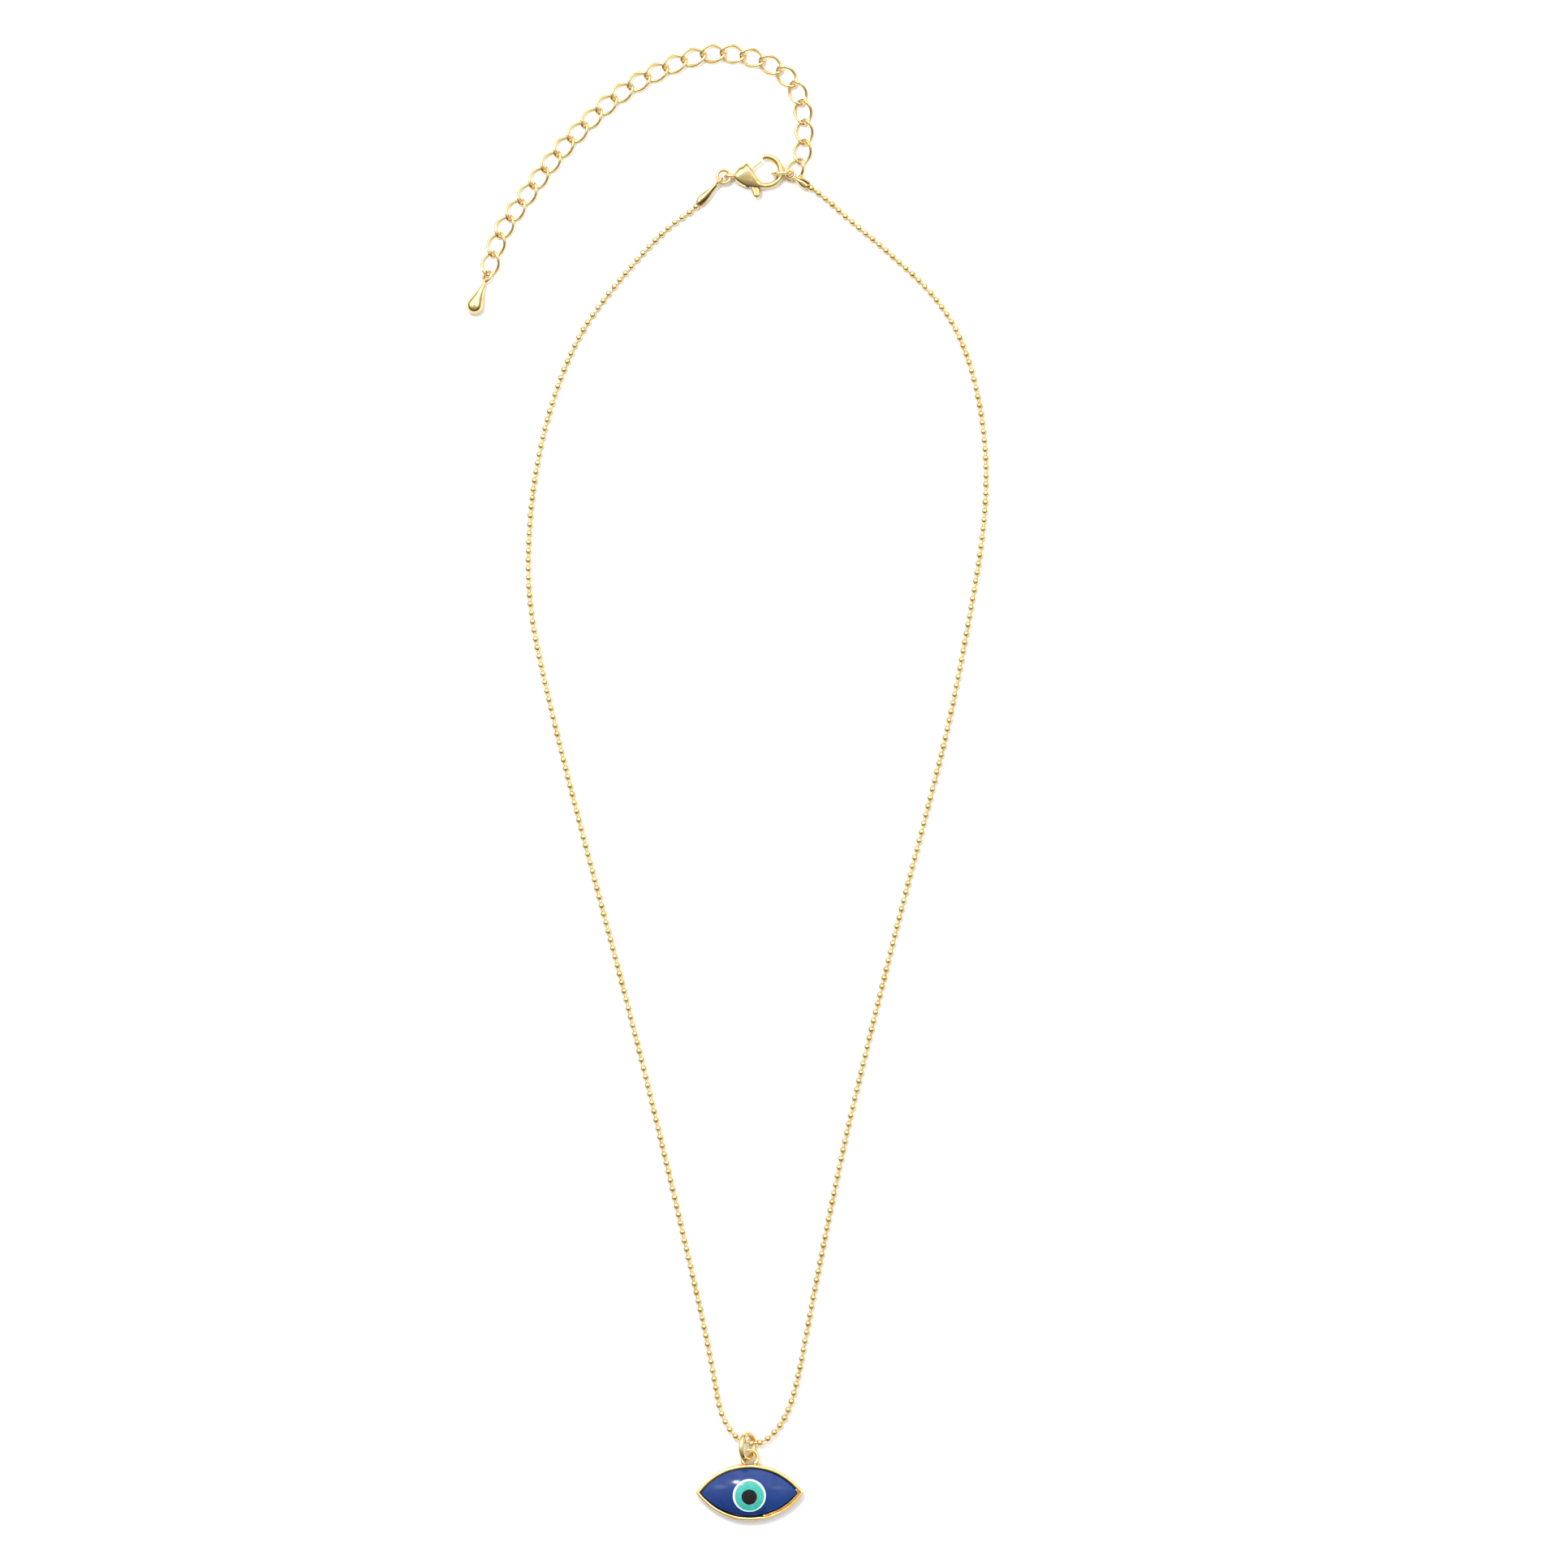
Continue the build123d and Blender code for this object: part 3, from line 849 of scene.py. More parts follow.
@dataclass(frozen=True)
class GlassEye:
    """Domed stone with three discs let into it, one inside the other, all ground flush and polished."""

    length: float = 14.75
    width: float = 7.08
    centre: Flat = (-0.12, 0.1)
    tip: float = 0.3
    crown: float = 2.9
    rise: float = 1.3
    crown_half_length: float = 6.95
    crown_half_width: float = 3.65
    girdle_bottom: float = 0.92
    edge_round: float = 0.16
    pocket_floor: float = 2.08
    iris_centre: Flat = (-0.02, -0.37)
    iris_radius: float = 2.52
    inner_centre: Flat = (0.0, -0.43)
    inner_radius: float = 2.25
    inner_narrowing: float = 0.035
    pupil_centre: Flat = (-0.03, -0.55)
    pupil_radius: float = 1.17
    seam: float = 0.006
    melt: Flat = (0.02, 0.035)
    dome_rows: int = 40
    inlay_rows: int = 13
    inlay_columns: int = 144

    def height(self, x: np.ndarray, y: np.ndarray) -> np.ndarray:
        """Height of the dome.

        Formula: an arc along X, turned about a level line, so that a cut square to X is a circle's arc too.

        Args:
            x: How far to the right of the dome's middle.
            y: How far up from it in the plane.

        Returns:
            Heights over the table.
        """
        cross = (self.crown_half_width**2 + self.rise**2) / (2 * self.rise)
        along = (self.crown_half_length**2 + self.rise**2) / (2 * self.rise)
        local = cross - (along - np.sqrt(along**2 - x**2))
        return self.crown - cross + np.sqrt(local**2 - y**2)

    def circle(self, centre: Flat, radius: np.ndarray | float, turn: np.ndarray) -> np.ndarray:
        """Points of a circle in the plane."""
        return np.asarray(centre) + np.stack([np.cos(turn), np.sin(turn)], -1) * np.reshape(radius, (-1, 1))

    def on_dome(self, flat: np.ndarray, sunk: float = 0.0) -> np.ndarray:
        """Points of the plane lifted on to the dome, or a little below it."""
        return np.column_stack([flat, self.height(flat[:, 0], flat[:, 1]) - sunk])

    def stone(self) -> Skin:
        """The blue stone with its round pocket.

        Formula: rows run from the pocket's floor up its wall, then straight outwards from the iris's circle
        to the marquise, and down round the girdle to the base.

        Returns:
            The stone's skin.
        """
        shape = Marquise(self.length, self.width)
        edge = shape.outline(0.0, self.tip) + self.centre
        turn = np.arctan2(edge[:, 1] - self.iris_centre[1], edge[:, 0] - self.iris_centre[0])
        iris = self.circle(self.iris_centre, self.iris_radius, turn)
        rows = [np.column_stack([iris, np.full(len(iris), self.pocket_floor)])]
        rows.append(self.on_dome(iris, 2 * self.seam))
        shoulder = shape.outline(self.edge_round, self.tip) + self.centre
        for share in np.linspace(0.004, 1.0, self.dome_rows):
            rows.append(self.on_dome(iris + (shoulder - iris) * share))
        low_edge = self.on_dome(shoulder)[:, 2]
        for share in (0.35, 0.7, 1.0):
            inset = self.edge_round * (1 - sqrt(1 - (1 - share) ** 2))
            drop = self.edge_round * share
            around = shape.outline(inset * 0.9, self.tip) + self.centre
            rows.append(np.column_stack([around, low_edge - drop]))
        rows.append(np.column_stack([edge, np.full(len(edge), self.girdle_bottom + 0.05)]))
        base = shape.outline(0.05, self.tip) + self.centre
        rows.append(np.column_stack([base, np.full(len(base), self.girdle_bottom)]))
        return skin(np.stack(rows))

    def inlay(self, inner: np.ndarray, outer: np.ndarray) -> Skin:
        """Ring-shaped inlay between two loops.

        Formula: at each turn, a straight way from the inner loop to the outer one lifted on to the dome, with
        both edges melted down a hair, and a flat underside.

        Args:
            inner: Points of the inner loop.
            outer: As many points of the outer loop.

        Returns:
            The inlay's skin.
        """
        share = np.linspace(0, 1, self.inlay_rows)
        across = inner[:, None] + (outer - inner)[:, None] * share[None, :, None]
        width = np.linalg.norm(outer - inner, axis=1)[:, None]
        to_edge = np.minimum(share, 1 - share)[None, :] * width
        sunk = self.melt[0] * bell(to_edge, 0.0, self.melt[1])
        top_height = self.height(across[:, :, 0], across[:, :, 1]) - sunk
        top = np.concatenate([across, top_height[:, :, None]], -1)
        under = top[:, ::-1].copy()
        under[:, :, 2] = self.pocket_floor + self.seam
        return skin(np.concatenate([top, under], axis=1), ring=True)

    def inlays(self) -> dict[str, Skin]:
        """The white ring, the turquoise ring and the black pupil, in that order.

        Returns:
            Their skins by the node that each stands for.
        """
        turn = 2 * pi * np.arange(self.inlay_columns) / self.inlay_columns
        outer = self.circle(self.iris_centre, self.iris_radius - self.seam, turn)
        wobble = self.inner_radius - self.inner_narrowing * np.cos(2 * turn) + 0.012 * np.sin(5 * turn + 1)
        middle = self.circle(self.inner_centre, wobble, turn)
        middle_in = self.circle(self.inner_centre, wobble - self.seam, turn)
        pupil_radius = self.pupil_radius + 0.012 * np.sin(3 * turn) + 0.008 * np.sin(7 * turn + 2)
        pupil = self.circle(self.pupil_centre, pupil_radius, turn)
        disc = [self.on_dome(self.pupil_centre + (pupil - self.pupil_centre) * share)
                for share in np.linspace(0.06, 0.97, 16)]
        disc.append(self.on_dome(pupil, 0.018))
        disc.append(np.column_stack([pupil, np.full(len(pupil), self.pocket_floor + self.seam)]))
        pupil_out = self.circle(self.pupil_centre, pupil_radius + self.seam, turn)
        return {
            "white_iris_ring": self.inlay(middle, outer),
            "turquoise_iris_ring": self.inlay(pupil_out, middle_in),
            "black_pupil": skin(np.stack(disc)),
        }


@dataclass(frozen=True)
class Pendant:
    """Setting, glass eye, adhesive and the cast loop with its two feet."""

    setting: Setting = Setting()
    eye: GlassEye = GlassEye()
    loop_radius: float = 1.18
    loop_wire: float = 0.52
    loop_start: float = -62.0
    loop_centre: Point = (0.05, 5.29, 1.4)
    foot: float = 0.17
    foot_at: float = 0.25
    foot_reach: float = 0.62
    end_round: float = 0.3
    glue_low: float = 0.6
    glue_high: float = 0.86
    glue_tip: float = 0.04

    def loop(self) -> Skin:
        """The loop, an open arc whose wire swells into a rounded foot at each end.

        Formula: the wire's half-thickness grows by a bell of the distance to the nearer end.

        Returns:
            The loop's skin.
        """
        share = tight_ends(90, 0.02)
        turn = np.radians(self.loop_start + (180 - 2 * self.loop_start) * share)
        arc = np.stack([np.cos(turn), np.sin(turn), np.zeros_like(turn)], -1)
        path = np.array(self.loop_centre) + self.loop_radius * arc
        length = self.loop_radius * (turn[-1] - turn[0])
        to_end = length * np.minimum(share, 1 - share)
        half = self.loop_wire / 2 + self.foot * bell(to_end, self.foot_at, self.foot_reach)
        half = half * end_swell(path, self.end_round)
        return sweep(path, half, half)

    def glue(self, shape: Marquise) -> Skin:
        """The adhesive, a thin bed with a wavy brim that crept up the wall where the stone stands off it.

        Formula: rows of inset and height round the marquise, with two waves of the turn on its brim.

        Args:
            shape: The marquise that it follows.

        Returns:
            The bed's skin.
        """
        turn = 2 * pi * np.arange(shape.columns()) / shape.columns()
        brim = 0.1 * (1 + np.sin(9 * turn) * np.sin(4 * turn + 1))
        low, high = self.glue_low, self.glue_high
        bed = ((0.9, low, 0), (0.7, low + 0.02, 0), (0.69, high, 1), (0.76, high - 0.04, 1), (0.98, high, 0))
        return skin(np.stack([
            np.column_stack([shape.outline(inset, self.glue_tip), height + brimmed * brim])
            for inset, height, brimmed in bed
        ]))

    def build(self, shop: Workshop) -> None:
        """Makes all the pendant's pieces.

        Args:
            shop: The workshop.
        """
        length, width = shop.size("bezel_setting")[:2]
        shape = Marquise(length, width)
        shop.piece("setting_cup", self.setting.skin(shape), Slot.SETTING, ["bezel_setting"])
        shop.piece("setting_loop", self.loop(), Slot.SETTING, ["pendant_loop"])
        shop.piece("adhesive_bed", self.glue(shape), Slot.ADHESIVE, ["glue_bed"])
        shop.piece("blue_stone", self.eye.stone(), Slot.BLUE, ["blue_cabochon"])
        for slot, (node, surface) in zip((Slot.WHITE, Slot.TURQUOISE, Slot.BLACK), self.eye.inlays().items()):
            shop.piece(f"{node}_inlay", surface, slot, [node])


@dataclass(frozen=True)
class BailRing:
    """Thick jump ring that carries the pendant on the chain."""

    ring: JumpRing = JumpRing(radius=1.88, wire=0.86, seam_at=158.0, seam_gap=0.05, edge_break=0.1)
    lean: float = 60.0

    def build(self, shop: Workshop) -> None:
        """Makes the ring where it leans through the pendant's loop.

        Args:
            shop: The workshop.
        """
        normal = (sin(radians(self.lean)), 0.0, cos(radians(self.lean)))
        surface = self.ring.skin(shop.centre("bail_ring"), normal, (0.0, 1.0, 0.0))
        shop.piece("bail_jump_ring", surface, Slot.RING, ["bail_ring"])


# ---------------------------------------------------------------- chain


@dataclass(frozen=True)
class BallChain:
    """Hollow balls on short pins, loose enough to bend anywhere.

    The chain's diameter and length are the real ones. The ball is drawn a little larger than the diameter,
    since its few faces cut inside a true ball.
    """

    diameter: float = 1.0
    length: float = 410.0
    pitch: float = 1.346
    ball: float = 1.06
    ball_rows: int = 6
    ball_columns: int = 10
    pin: float = 0.4
    pin_columns: int = 6
    spread: float = 0.02
    kink: float = 0.06
    seed: int = 7
    route: tuple[Point, ...] = (
        (-7.8, 196.15, 0.85), (-8.86, 194.99, 0.7), (-11.5, 193.4, 0.5), (-15.0, 190.1, 0.5),
        (-19.9, 184.6, 0.5), (-26.0, 176.6, 0.5), (-30.3, 165.9, 0.5), (-33.0, 154.0, 0.5),
        (-33.9, 141.9, 0.5), (-33.3, 132.8, 0.5), (-30.6, 120.6, 0.5), (-26.75, 105.0, 0.5),
        (-22.1, 87.6, 0.5), (-17.6, 70.4, 0.5), (-13.4, 53.2, 0.5), (-9.9, 38.2, 0.5),
        (-6.95, 25.3, 0.5), (-5.3, 16.8, 0.5), (-4.5, 11.9, 0.7), (-1.9, 7.8, 1.5),
        (2.0, 7.2, 1.5), (5.4, 10.9, 0.7), (7.2, 16.3, 0.5), (8.9, 25.6, 0.5),
        (11.3, 37.9, 0.5), (14.35, 53.0, 0.5), (18.5, 70.3, 0.5), (22.8, 87.6, 0.5),
        (27.4, 105.2, 0.5), (30.6, 117.9, 0.5), (33.6, 133.8, 0.5), (35.7, 146.4, 0.5),
        (36.2, 156.9, 0.5), (34.9, 167.3, 0.5), (32.1, 176.3, 0.5), (27.8, 182.7, 0.5),
        (21.2, 188.8, 0.5), (15.1, 193.8, 0.5), (11.04, 197.54, 0.53), (8.95, 198.85, 0.95),
    )

    def centreline(self) -> np.ndarray:
        """The smooth line that the route controls.

        Returns:
            Its points in millimetres.
        """
        curve = bpy.data.curves.new("chain_route", "CURVE")
        curve.dimensions = "3D"
        spline = curve.splines.new("NURBS")
        spline.points.add(len(self.route) - 1)
        controls = np.column_stack([np.array(self.route) * MM, np.ones(len(self.route))])
        spline.points.foreach_set("co", controls.ravel())
        spline.order_u = 3
        spline.use_endpoint_u = True
        spline.resolution_u = 24
        holder = bpy.data.objects.new("chain_route", curve)
        line = bpy.data.meshes.new_from_object(holder)
        points = np.empty(len(line.vertices) * 3)
        line.vertices.foreach_get("co", points)
        bpy.data.objects.remove(holder)
        bpy.data.meshes.remove(line)
        bpy.data.curves.remove(curve)
        return points.reshape(-1, 3) / MM

    def ball_shape(self) -> Skin:
        """One ball about its own Z: rows of latitude between two poles, half a ball in radius."""
        lean = pi * (np.arange(self.ball_rows) + 0.75) / (self.ball_rows + 0.5)
        return turned(0.5 * np.stack([np.sin(lean), -np.cos(lean)], -1), self.ball_columns)

    def pin_shape(self) -> Skin:
        """One pin about its own Z, one unit long and one wide."""
        return turned(np.array([[0.5, -0.5], [0.5, 0.5]]), self.pin_columns)

    def strung(
        self, shape: Skin, places: np.ndarray, along: np.ndarray, sizes: np.ndarray, rolls: np.ndarray
    ) -> Skin:
        """Copies of one shape along the chain.

        Formula: each copy's Z follows the line, and its X and Y are turned about it by its own roll.

        Args:
            shape: The shape about its own Z.
            places: The copies' centres.
            along: The line's direction at each.
            sizes: Each copy's width and length.
            rolls: Each copy's turn in radians.

        Returns:
            All the copies as one skin.
        """
        level = unit(np.cross(UP, along))
        upright = np.cross(along, level)
        turn_cos, turn_sin = np.cos(rolls)[:, None], np.sin(rolls)[:, None]
        first = level * turn_cos + upright * turn_sin
        second = upright * turn_cos - level * turn_sin
        axes = np.stack([first * sizes[:, :1], second * sizes[:, :1], along * sizes[:, 1:]], axis=1)
        corners = np.einsum("kc,ncx->nkx", shape.corners, axes) + places[:, None]
        count = len(shape.corners)
        faces = [[corner + number * count for corner in face]
                 for number in range(len(places)) for face in shape.faces]
        return Skin(corners.reshape(-1, 3), faces)

    def build(self, shop: Workshop) -> None:
        """Args:
            shop: The workshop.
        """
        random = np.random.default_rng(self.seed)
        line = self.centreline()
        steps = np.concatenate([[0.0], np.cumsum(np.linalg.norm(np.diff(line, axis=0), axis=1))])

        def at(distance: np.ndarray) -> np.ndarray:
            """Points at these distances along the line."""
            return np.stack([np.interp(distance, steps, line[:, side]) for side in range(3)], -1)

        count = int((steps[-1] - self.ball) / self.pitch)
        places = self.ball / 2 + (steps[-1] - self.ball) * np.arange(count + 1) / count
        balls = at(places)
        facing = unit(at(places + self.pitch / 2) - at(places - self.pitch / 2))
        facing = unit(facing + random.normal(0, self.kink, facing.shape))
        uneven = 1 + random.normal(0, self.spread / 2, (len(balls), 1))
        ball_sizes = np.minimum(self.ball * uneven * np.array([1.0, 0.98]), self.ball * (1 + self.spread))
        rolls = random.uniform(0, 2 * pi, len(balls))
        strung = self.strung(self.ball_shape(), balls, facing, ball_sizes, rolls)
        gaps = np.diff(balls, axis=0)
        pin_sizes = np.column_stack([np.full(len(gaps), self.pin), 0.5 * np.linalg.norm(gaps, axis=1)])
        between, unrolled = balls[:-1] + gaps / 2, np.zeros(len(gaps))
        strung += self.strung(self.pin_shape(), between, unit(gaps), pin_sizes, unrolled)
        chain = shop.piece("ball_chain_beads", strung, Slot.CHAIN, ["ball_chain"], crease=75.0)
        tuple(np.array(self.route[0]) * MM)
        LOG.info("chain: %d balls on %.1f mm", len(balls), steps[-1])


@dataclass(frozen=True)
class FoldedEnd:
    """Chain end folded from sheet round the last balls, with a wire ring at its narrow end."""

    node: str
    mouth: Point
    loop_centre: Point
    loop_flat: bool
    sheet: float = 0.16
    swell: tuple[Flat, ...] = ((0.0, 0.6), (0.1, 0.74), (0.28, 0.78), (0.5, 0.68), (0.75, 0.46), (1.0, 0.3))
    flatness: float = 0.12
    slit: float = 15.0
    slit_roll: float = -32.0
    lumps: float = 0.035
    lip_curl: Flat = (0.14, 0.22)
    least_bore: float = 0.05
    rows: int = 36
    columns: int = 60
    ring: JumpRing = JumpRing(radius=0.65, wire=0.4, seam_at=180.0, rows=64)

    def wrap(self, length: float) -> Skin:
        """The folded sheet about its own Z.

        Formula: at each turn from one lip of the slit round to the other, an outer line whose radius swells
        and narrows along the length, and an inner line one sheet inside it. The radius is a little less
        towards the slit and away from it than across, has a few shallow lumps, and curls in at both lips.

        Args:
            length: From the mouth to the narrow end.

        Returns:
            The sheet's skin.
        """
        swell = through(self.swell, self.rows)
        along, radius = swell[:, 0] * length, swell[:, 1]
        turn = np.radians(np.linspace(self.slit, 360 - self.slit, self.columns))[:, None]
        lump = self.lumps * np.sin(3 * turn + 5 * swell[:, 0]) * np.sin(pi * swell[:, 0])
        oval = 1 - self.flatness * np.cos(turn) ** 2
        depth, width = self.lip_curl
        curl = 1 - depth * bell(turn, turn[0, 0], width) - depth * bell(turn, turn[-1, 0], width)
        outer = (radius * oval + lump) * curl
        inner = np.maximum(outer - self.sheet, self.least_bore)
        radii = np.concatenate([outer, inner[:, ::-1]], axis=1)
        heights = np.broadcast_to(np.concatenate([along, along[::-1]]), radii.shape)
        points = np.stack([radii * np.cos(turn), radii * np.sin(turn), heights], -1)
        return skin(points, ends=Ends.STRIP)

    def build(self, shop: Workshop) -> None:
        """Makes the folded end with its ring, its slit turned up and then rolled a little.

        Args:
            shop: The workshop.
        """
        mouth, loop_centre = np.array(self.mouth), np.array(self.loop_centre)
        reach = loop_centre - mouth
        along = unit(reach)
        level = unit(np.cross(UP, along))
        wrapped = self.wrap(float(np.linalg.norm(reach)) - self.ring.radius)
        upward, roll = np.cross(along, level), radians(self.slit_roll)
        body = wrapped.placed(mouth, axes_of(upward * cos(roll) + level * sin(roll), along))
        normal = UP if self.loop_flat else level
        ring = self.ring.skin(loop_centre, normal, along)
        shop.piece(f"{self.node}_fold", body + ring, Slot.CLASP, [self.node])


# ---------------------------------------------------------------- clasp


@dataclass(frozen=True)
class ClaspStation:
    """A cut across the cast body.

    It has an outer and an inner edge, half a thickness, and a ridge at a share of the way between the edges.
    """

    outer: Flat
    inner: Flat
    half_thick: float
    ridge: float


@dataclass(frozen=True)
class LobsterClasp:
    """Cast body with a hook and a rear eye, and a sprung lever with a gate and a thumb tab."""

    mid_z: float = 1.15
    hook_centre: Flat = (2.53, 201.1)
    hook_radius: float = 2.2
    hook_wire: float = 0.9
    hook_tip: float = 107.0
    stations: tuple[ClaspStation, ...] = (
        ClaspStation((-2.42, 200.02), (-2.4, 200.72), 0.5, 0.5),
        ClaspStation((-2.2, 199.62), (-2.16, 201.2), 0.86, 0.5),
        ClaspStation((-1.75, 199.2), (-1.72, 201.75), 1.03, 0.52),
        ClaspStation((-1.15, 198.86), (-1.12, 202.12), 1.09, 0.57),
        ClaspStation((-0.55, 198.63), (-0.48, 202.5), 1.1, 0.64),
        ClaspStation((0.0, 198.48), (0.08, 202.05), 1.1, 0.72),
        ClaspStation((0.5, 198.4), (0.6, 201.14), 1.07, 0.72),
        ClaspStation((1.0, 198.37), (1.1, 200.33), 0.98, 0.68),
        ClaspStation((1.5, 198.38), (1.58, 199.75), 0.82, 0.6),
        ClaspStation((2.0, 198.42), (2.06, 199.46), 0.62, 0.53),
        ClaspStation((2.45, 198.45), (2.47, 199.36), 0.48, 0.5),
    )
    outer_squareness: float = 0.92
    inner_squareness: float = 1.3
    eye: JumpRing = JumpRing(radius=0.75, wire=0.5, seam_at=0.0, seam_gap=0.0, rows=64)
    eye_centre: Point = (-2.95, 200.3, 1.15)
    slot_outline: tuple[Flat, ...] = (
        (-0.6, 196.5), (1.7, 196.5), (1.7, 199.0), (1.2, 199.6), (1.2, 203.0), (0.0, 203.0), (0.0, 201.2),
        (-0.72, 200.5), (-0.72, 199.2), (-0.6, 199.0),
    )
    slot_height: float = 1.0
    pin_radius: float = 0.3
    bore_depth: float = 0.92
    pin_play: float = 0.01
    body_rows: int = 90
    columns: int = 48
    barb: Point = (0.1, 0.1, 0.16)
    tip_round: float = 0.12
    tip_start: float = 0.16
    gate_curve: tuple[Point, ...] = (
        (0.19, 199.9, 0.16), (0.3, 200.9, 0.16), (0.52, 201.55, 0.16), (1.12, 202.08, 0.16),
        (1.9, 202.6, 0.16),
    )
    gate_tip_half_high: float = 0.34
    lever_half_high: float = 0.45
    lever_rows: int = 60
    hub_radius: float = 0.78
    hub_edge: float = 0.06
    tab_curve: tuple[Point, ...] = (
        (0.25, 199.75, 0.5), (0.55, 199.1, 0.6), (0.88, 198.4, 0.66), (1.03, 197.9, 0.6), (1.1, 197.5, 0.56),
        (1.14, 197.0, 0.5),
    )

    def cast_body(self) -> Skin:
        """The body and the hook as one skin.

        Formula: each row joins an outer edge to an inner edge by two quarter curves over the ridge and two
        under it. The body's rows come first, then the hook's.

        Returns:
            The skin, before its slot and bore are cut.
        """
        rows = [(*cut.outer, *cut.inner, cut.half_thick, cut.ridge) for cut in self.stations]
        table = np.vstack([through(rows, self.body_rows), self.hook_table()])
        outer, inner, thick, ridge = table[:, 0:2], table[:, 2:4], table[:, 4], table[:, 5:6]
        middle = outer + (inner - outer) * ridge
        loop_turn = 2 * pi * (np.arange(self.columns) + 0.5) / self.columns
        to_inner = np.cos(loop_turn) > 0
        power = np.where(to_inner, self.inner_squareness, self.outer_squareness)
        across = np.abs(np.cos(loop_turn)) ** power
        high = np.sign(np.sin(loop_turn)) * np.abs(np.sin(loop_turn)) ** power
        edge = np.where(to_inner[None, :, None], (inner - middle)[:, None], (outer - middle)[:, None])
        flat = middle[:, None] + edge * across[None, :, None]
        level = self.mid_z + thick[:, None] * high[None, :]
        return skin(np.concatenate([flat, level[:, :, None]], -1))

    def hook_table(self) -> np.ndarray:
        """The hook, which has its ridge in the middle.

        Formula: the edges follow two circles about the hook's centre, from its lowest point round to its tip,
        where a bell makes a small barb and a circle's arc rounds the end. The crowded shares at the start are
        left out, because the body's last row is there.

        Returns:
            Rows of outer edge, inner edge, half a thickness and ridge.
        """
        shares = tight_ends(self.body_rows, 0.05)[7:]
        turn = np.radians(-90 + (self.hook_tip + 90) * shares)
        ray = np.stack([np.cos(turn), np.sin(turn)], -1)
        to_tip = self.hook_radius * (turn[-1] - turn)
        height, middle, spread = self.barb
        barb = height * bell(to_tip, middle, spread)
        ending = np.sqrt(1 - (1 - np.clip(to_tip / self.tip_round + self.tip_start, 0, 1)) ** 2)
        half = self.hook_wire / 2 * ending
        outer = self.hook_centre + ray * (self.hook_radius + half)[:, None]
        inner = self.hook_centre + ray * (self.hook_radius - half - barb)[:, None]
        return np.column_stack([outer, inner, half, np.full(len(turn), 0.5)])

    def slot_cutter(self) -> Skin:
        """Prism of the slot's outline between its two heights.

        Returns:
            The prism's skin.
        """
        outline = np.array(self.slot_outline)
        half = self.slot_height / 2
        heights = np.full(len(outline), self.mid_z)
        return skin(np.stack([np.column_stack([outline, heights + side]) for side in (-half, half)]))

    def about_pivot(self, profile: Sequence[Flat], pivot: np.ndarray, columns: int = 64) -> Skin:
        """Solid of revolution on the lever's pivot, from rows of radius and height over the middle."""
        return turned(np.array(profile), columns).placed((pivot[0], pivot[1], self.mid_z), np.eye(3))

    def bar(self, curve: Sequence[Point], rounding: float) -> tuple[np.ndarray, np.ndarray, np.ndarray]:
        """A level bar of the lever, with its outer end rounded and its inner third full, in the hub.

        Args:
            curve: Rows of X, Y and half a width.
            rounding: How far from its end the bar has its full thickness.

        Returns:
            Its path, its half-widths, and its share of full thickness.
        """
        line = through(curve, self.lever_rows)
        path = np.column_stack([line[:, :2], np.full(self.lever_rows, self.mid_z)])
        swell = end_swell(path, rounding)
        swell[: self.lever_rows // 3] = 1.0
        return path, line[:, 2] * swell, swell

    def lever(self, pivot: np.ndarray) -> Skin:
        """Gate, hub and thumb tab.

        Formula: the gate is a thin strip and the tab a thicker bar, both carried along smooth curves with
        rounded box sections and rounded ends. The hub is turned about the pivot.

        Args:
            pivot: The lever's joint.

        Returns:
            The lever's skin.
        """
        path, wide, share = self.bar(self.gate_curve, 0.14)
        tall = np.linspace(self.lever_half_high, self.gate_tip_half_high, self.lever_rows)
        gate = sweep(path, wide, tall * (0.7 + 0.3 * share), squareness=0.55)
        path, wide, share = self.bar(self.tab_curve, 0.5)
        tab = sweep(path, wide, self.lever_half_high * share, squareness=0.8)
        radius, edge, top = self.hub_radius, self.hub_edge, self.lever_half_high
        profile = ((radius - edge, -top), (radius, edge - top), (radius, top - edge), (radius - edge, top))
        return gate + tab + self.about_pivot(profile, pivot)

    def pin(self, pivot: np.ndarray) -> Skin:
        """The lever's pin, with slightly domed ends.

        Args:
            pivot: The lever's joint.

        Returns:
            The pin's skin.
        """
        half = self.bore_depth - 0.05
        radius = self.pin_radius - self.pin_play
        upper = ((radius, half - 0.05), (0.9 * radius, half), (0.6 * radius, half + 0.03))
        lower = tuple((out, -height) for out, height in reversed(upper))
        return self.about_pivot(lower + upper, pivot, 32)

    def build(self, shop: Workshop) -> None:
        """Makes the body with its slot and bore, and the lever and its pin, and dresses the spring.

        Args:
            shop: The workshop.
        """
        pivot = shop.joint_at("lever_open")
        body = shop.shape("clasp_casting", self.cast_body(), 35.0)
        bore_ends = ((self.pin_radius, -self.bore_depth), (self.pin_radius, self.bore_depth))
        bore = self.about_pivot(bore_ends, pivot, 32)
        shop.carved(body, [self.slot_cutter(), bore], 35.0)
        shop.fit(body, Slot.CLASP, ["clasp_body"])
        eye = self.eye.skin(self.eye_centre, (0.0, 1.0, 0.0), (1.0, 0.0, 0.0))
        shop.piece("clasp_eye", eye, Slot.CLASP, ["clasp_body"])
        shop.piece("clasp_gate_lever", self.lever(pivot), Slot.CLASP, ["clasp_lever"])
        shop.piece("clasp_pin", self.pin(pivot), Slot.CLASP, ["clasp_lever_pin"])
        shop.dress("clasp_spring", Slot.SPRING)


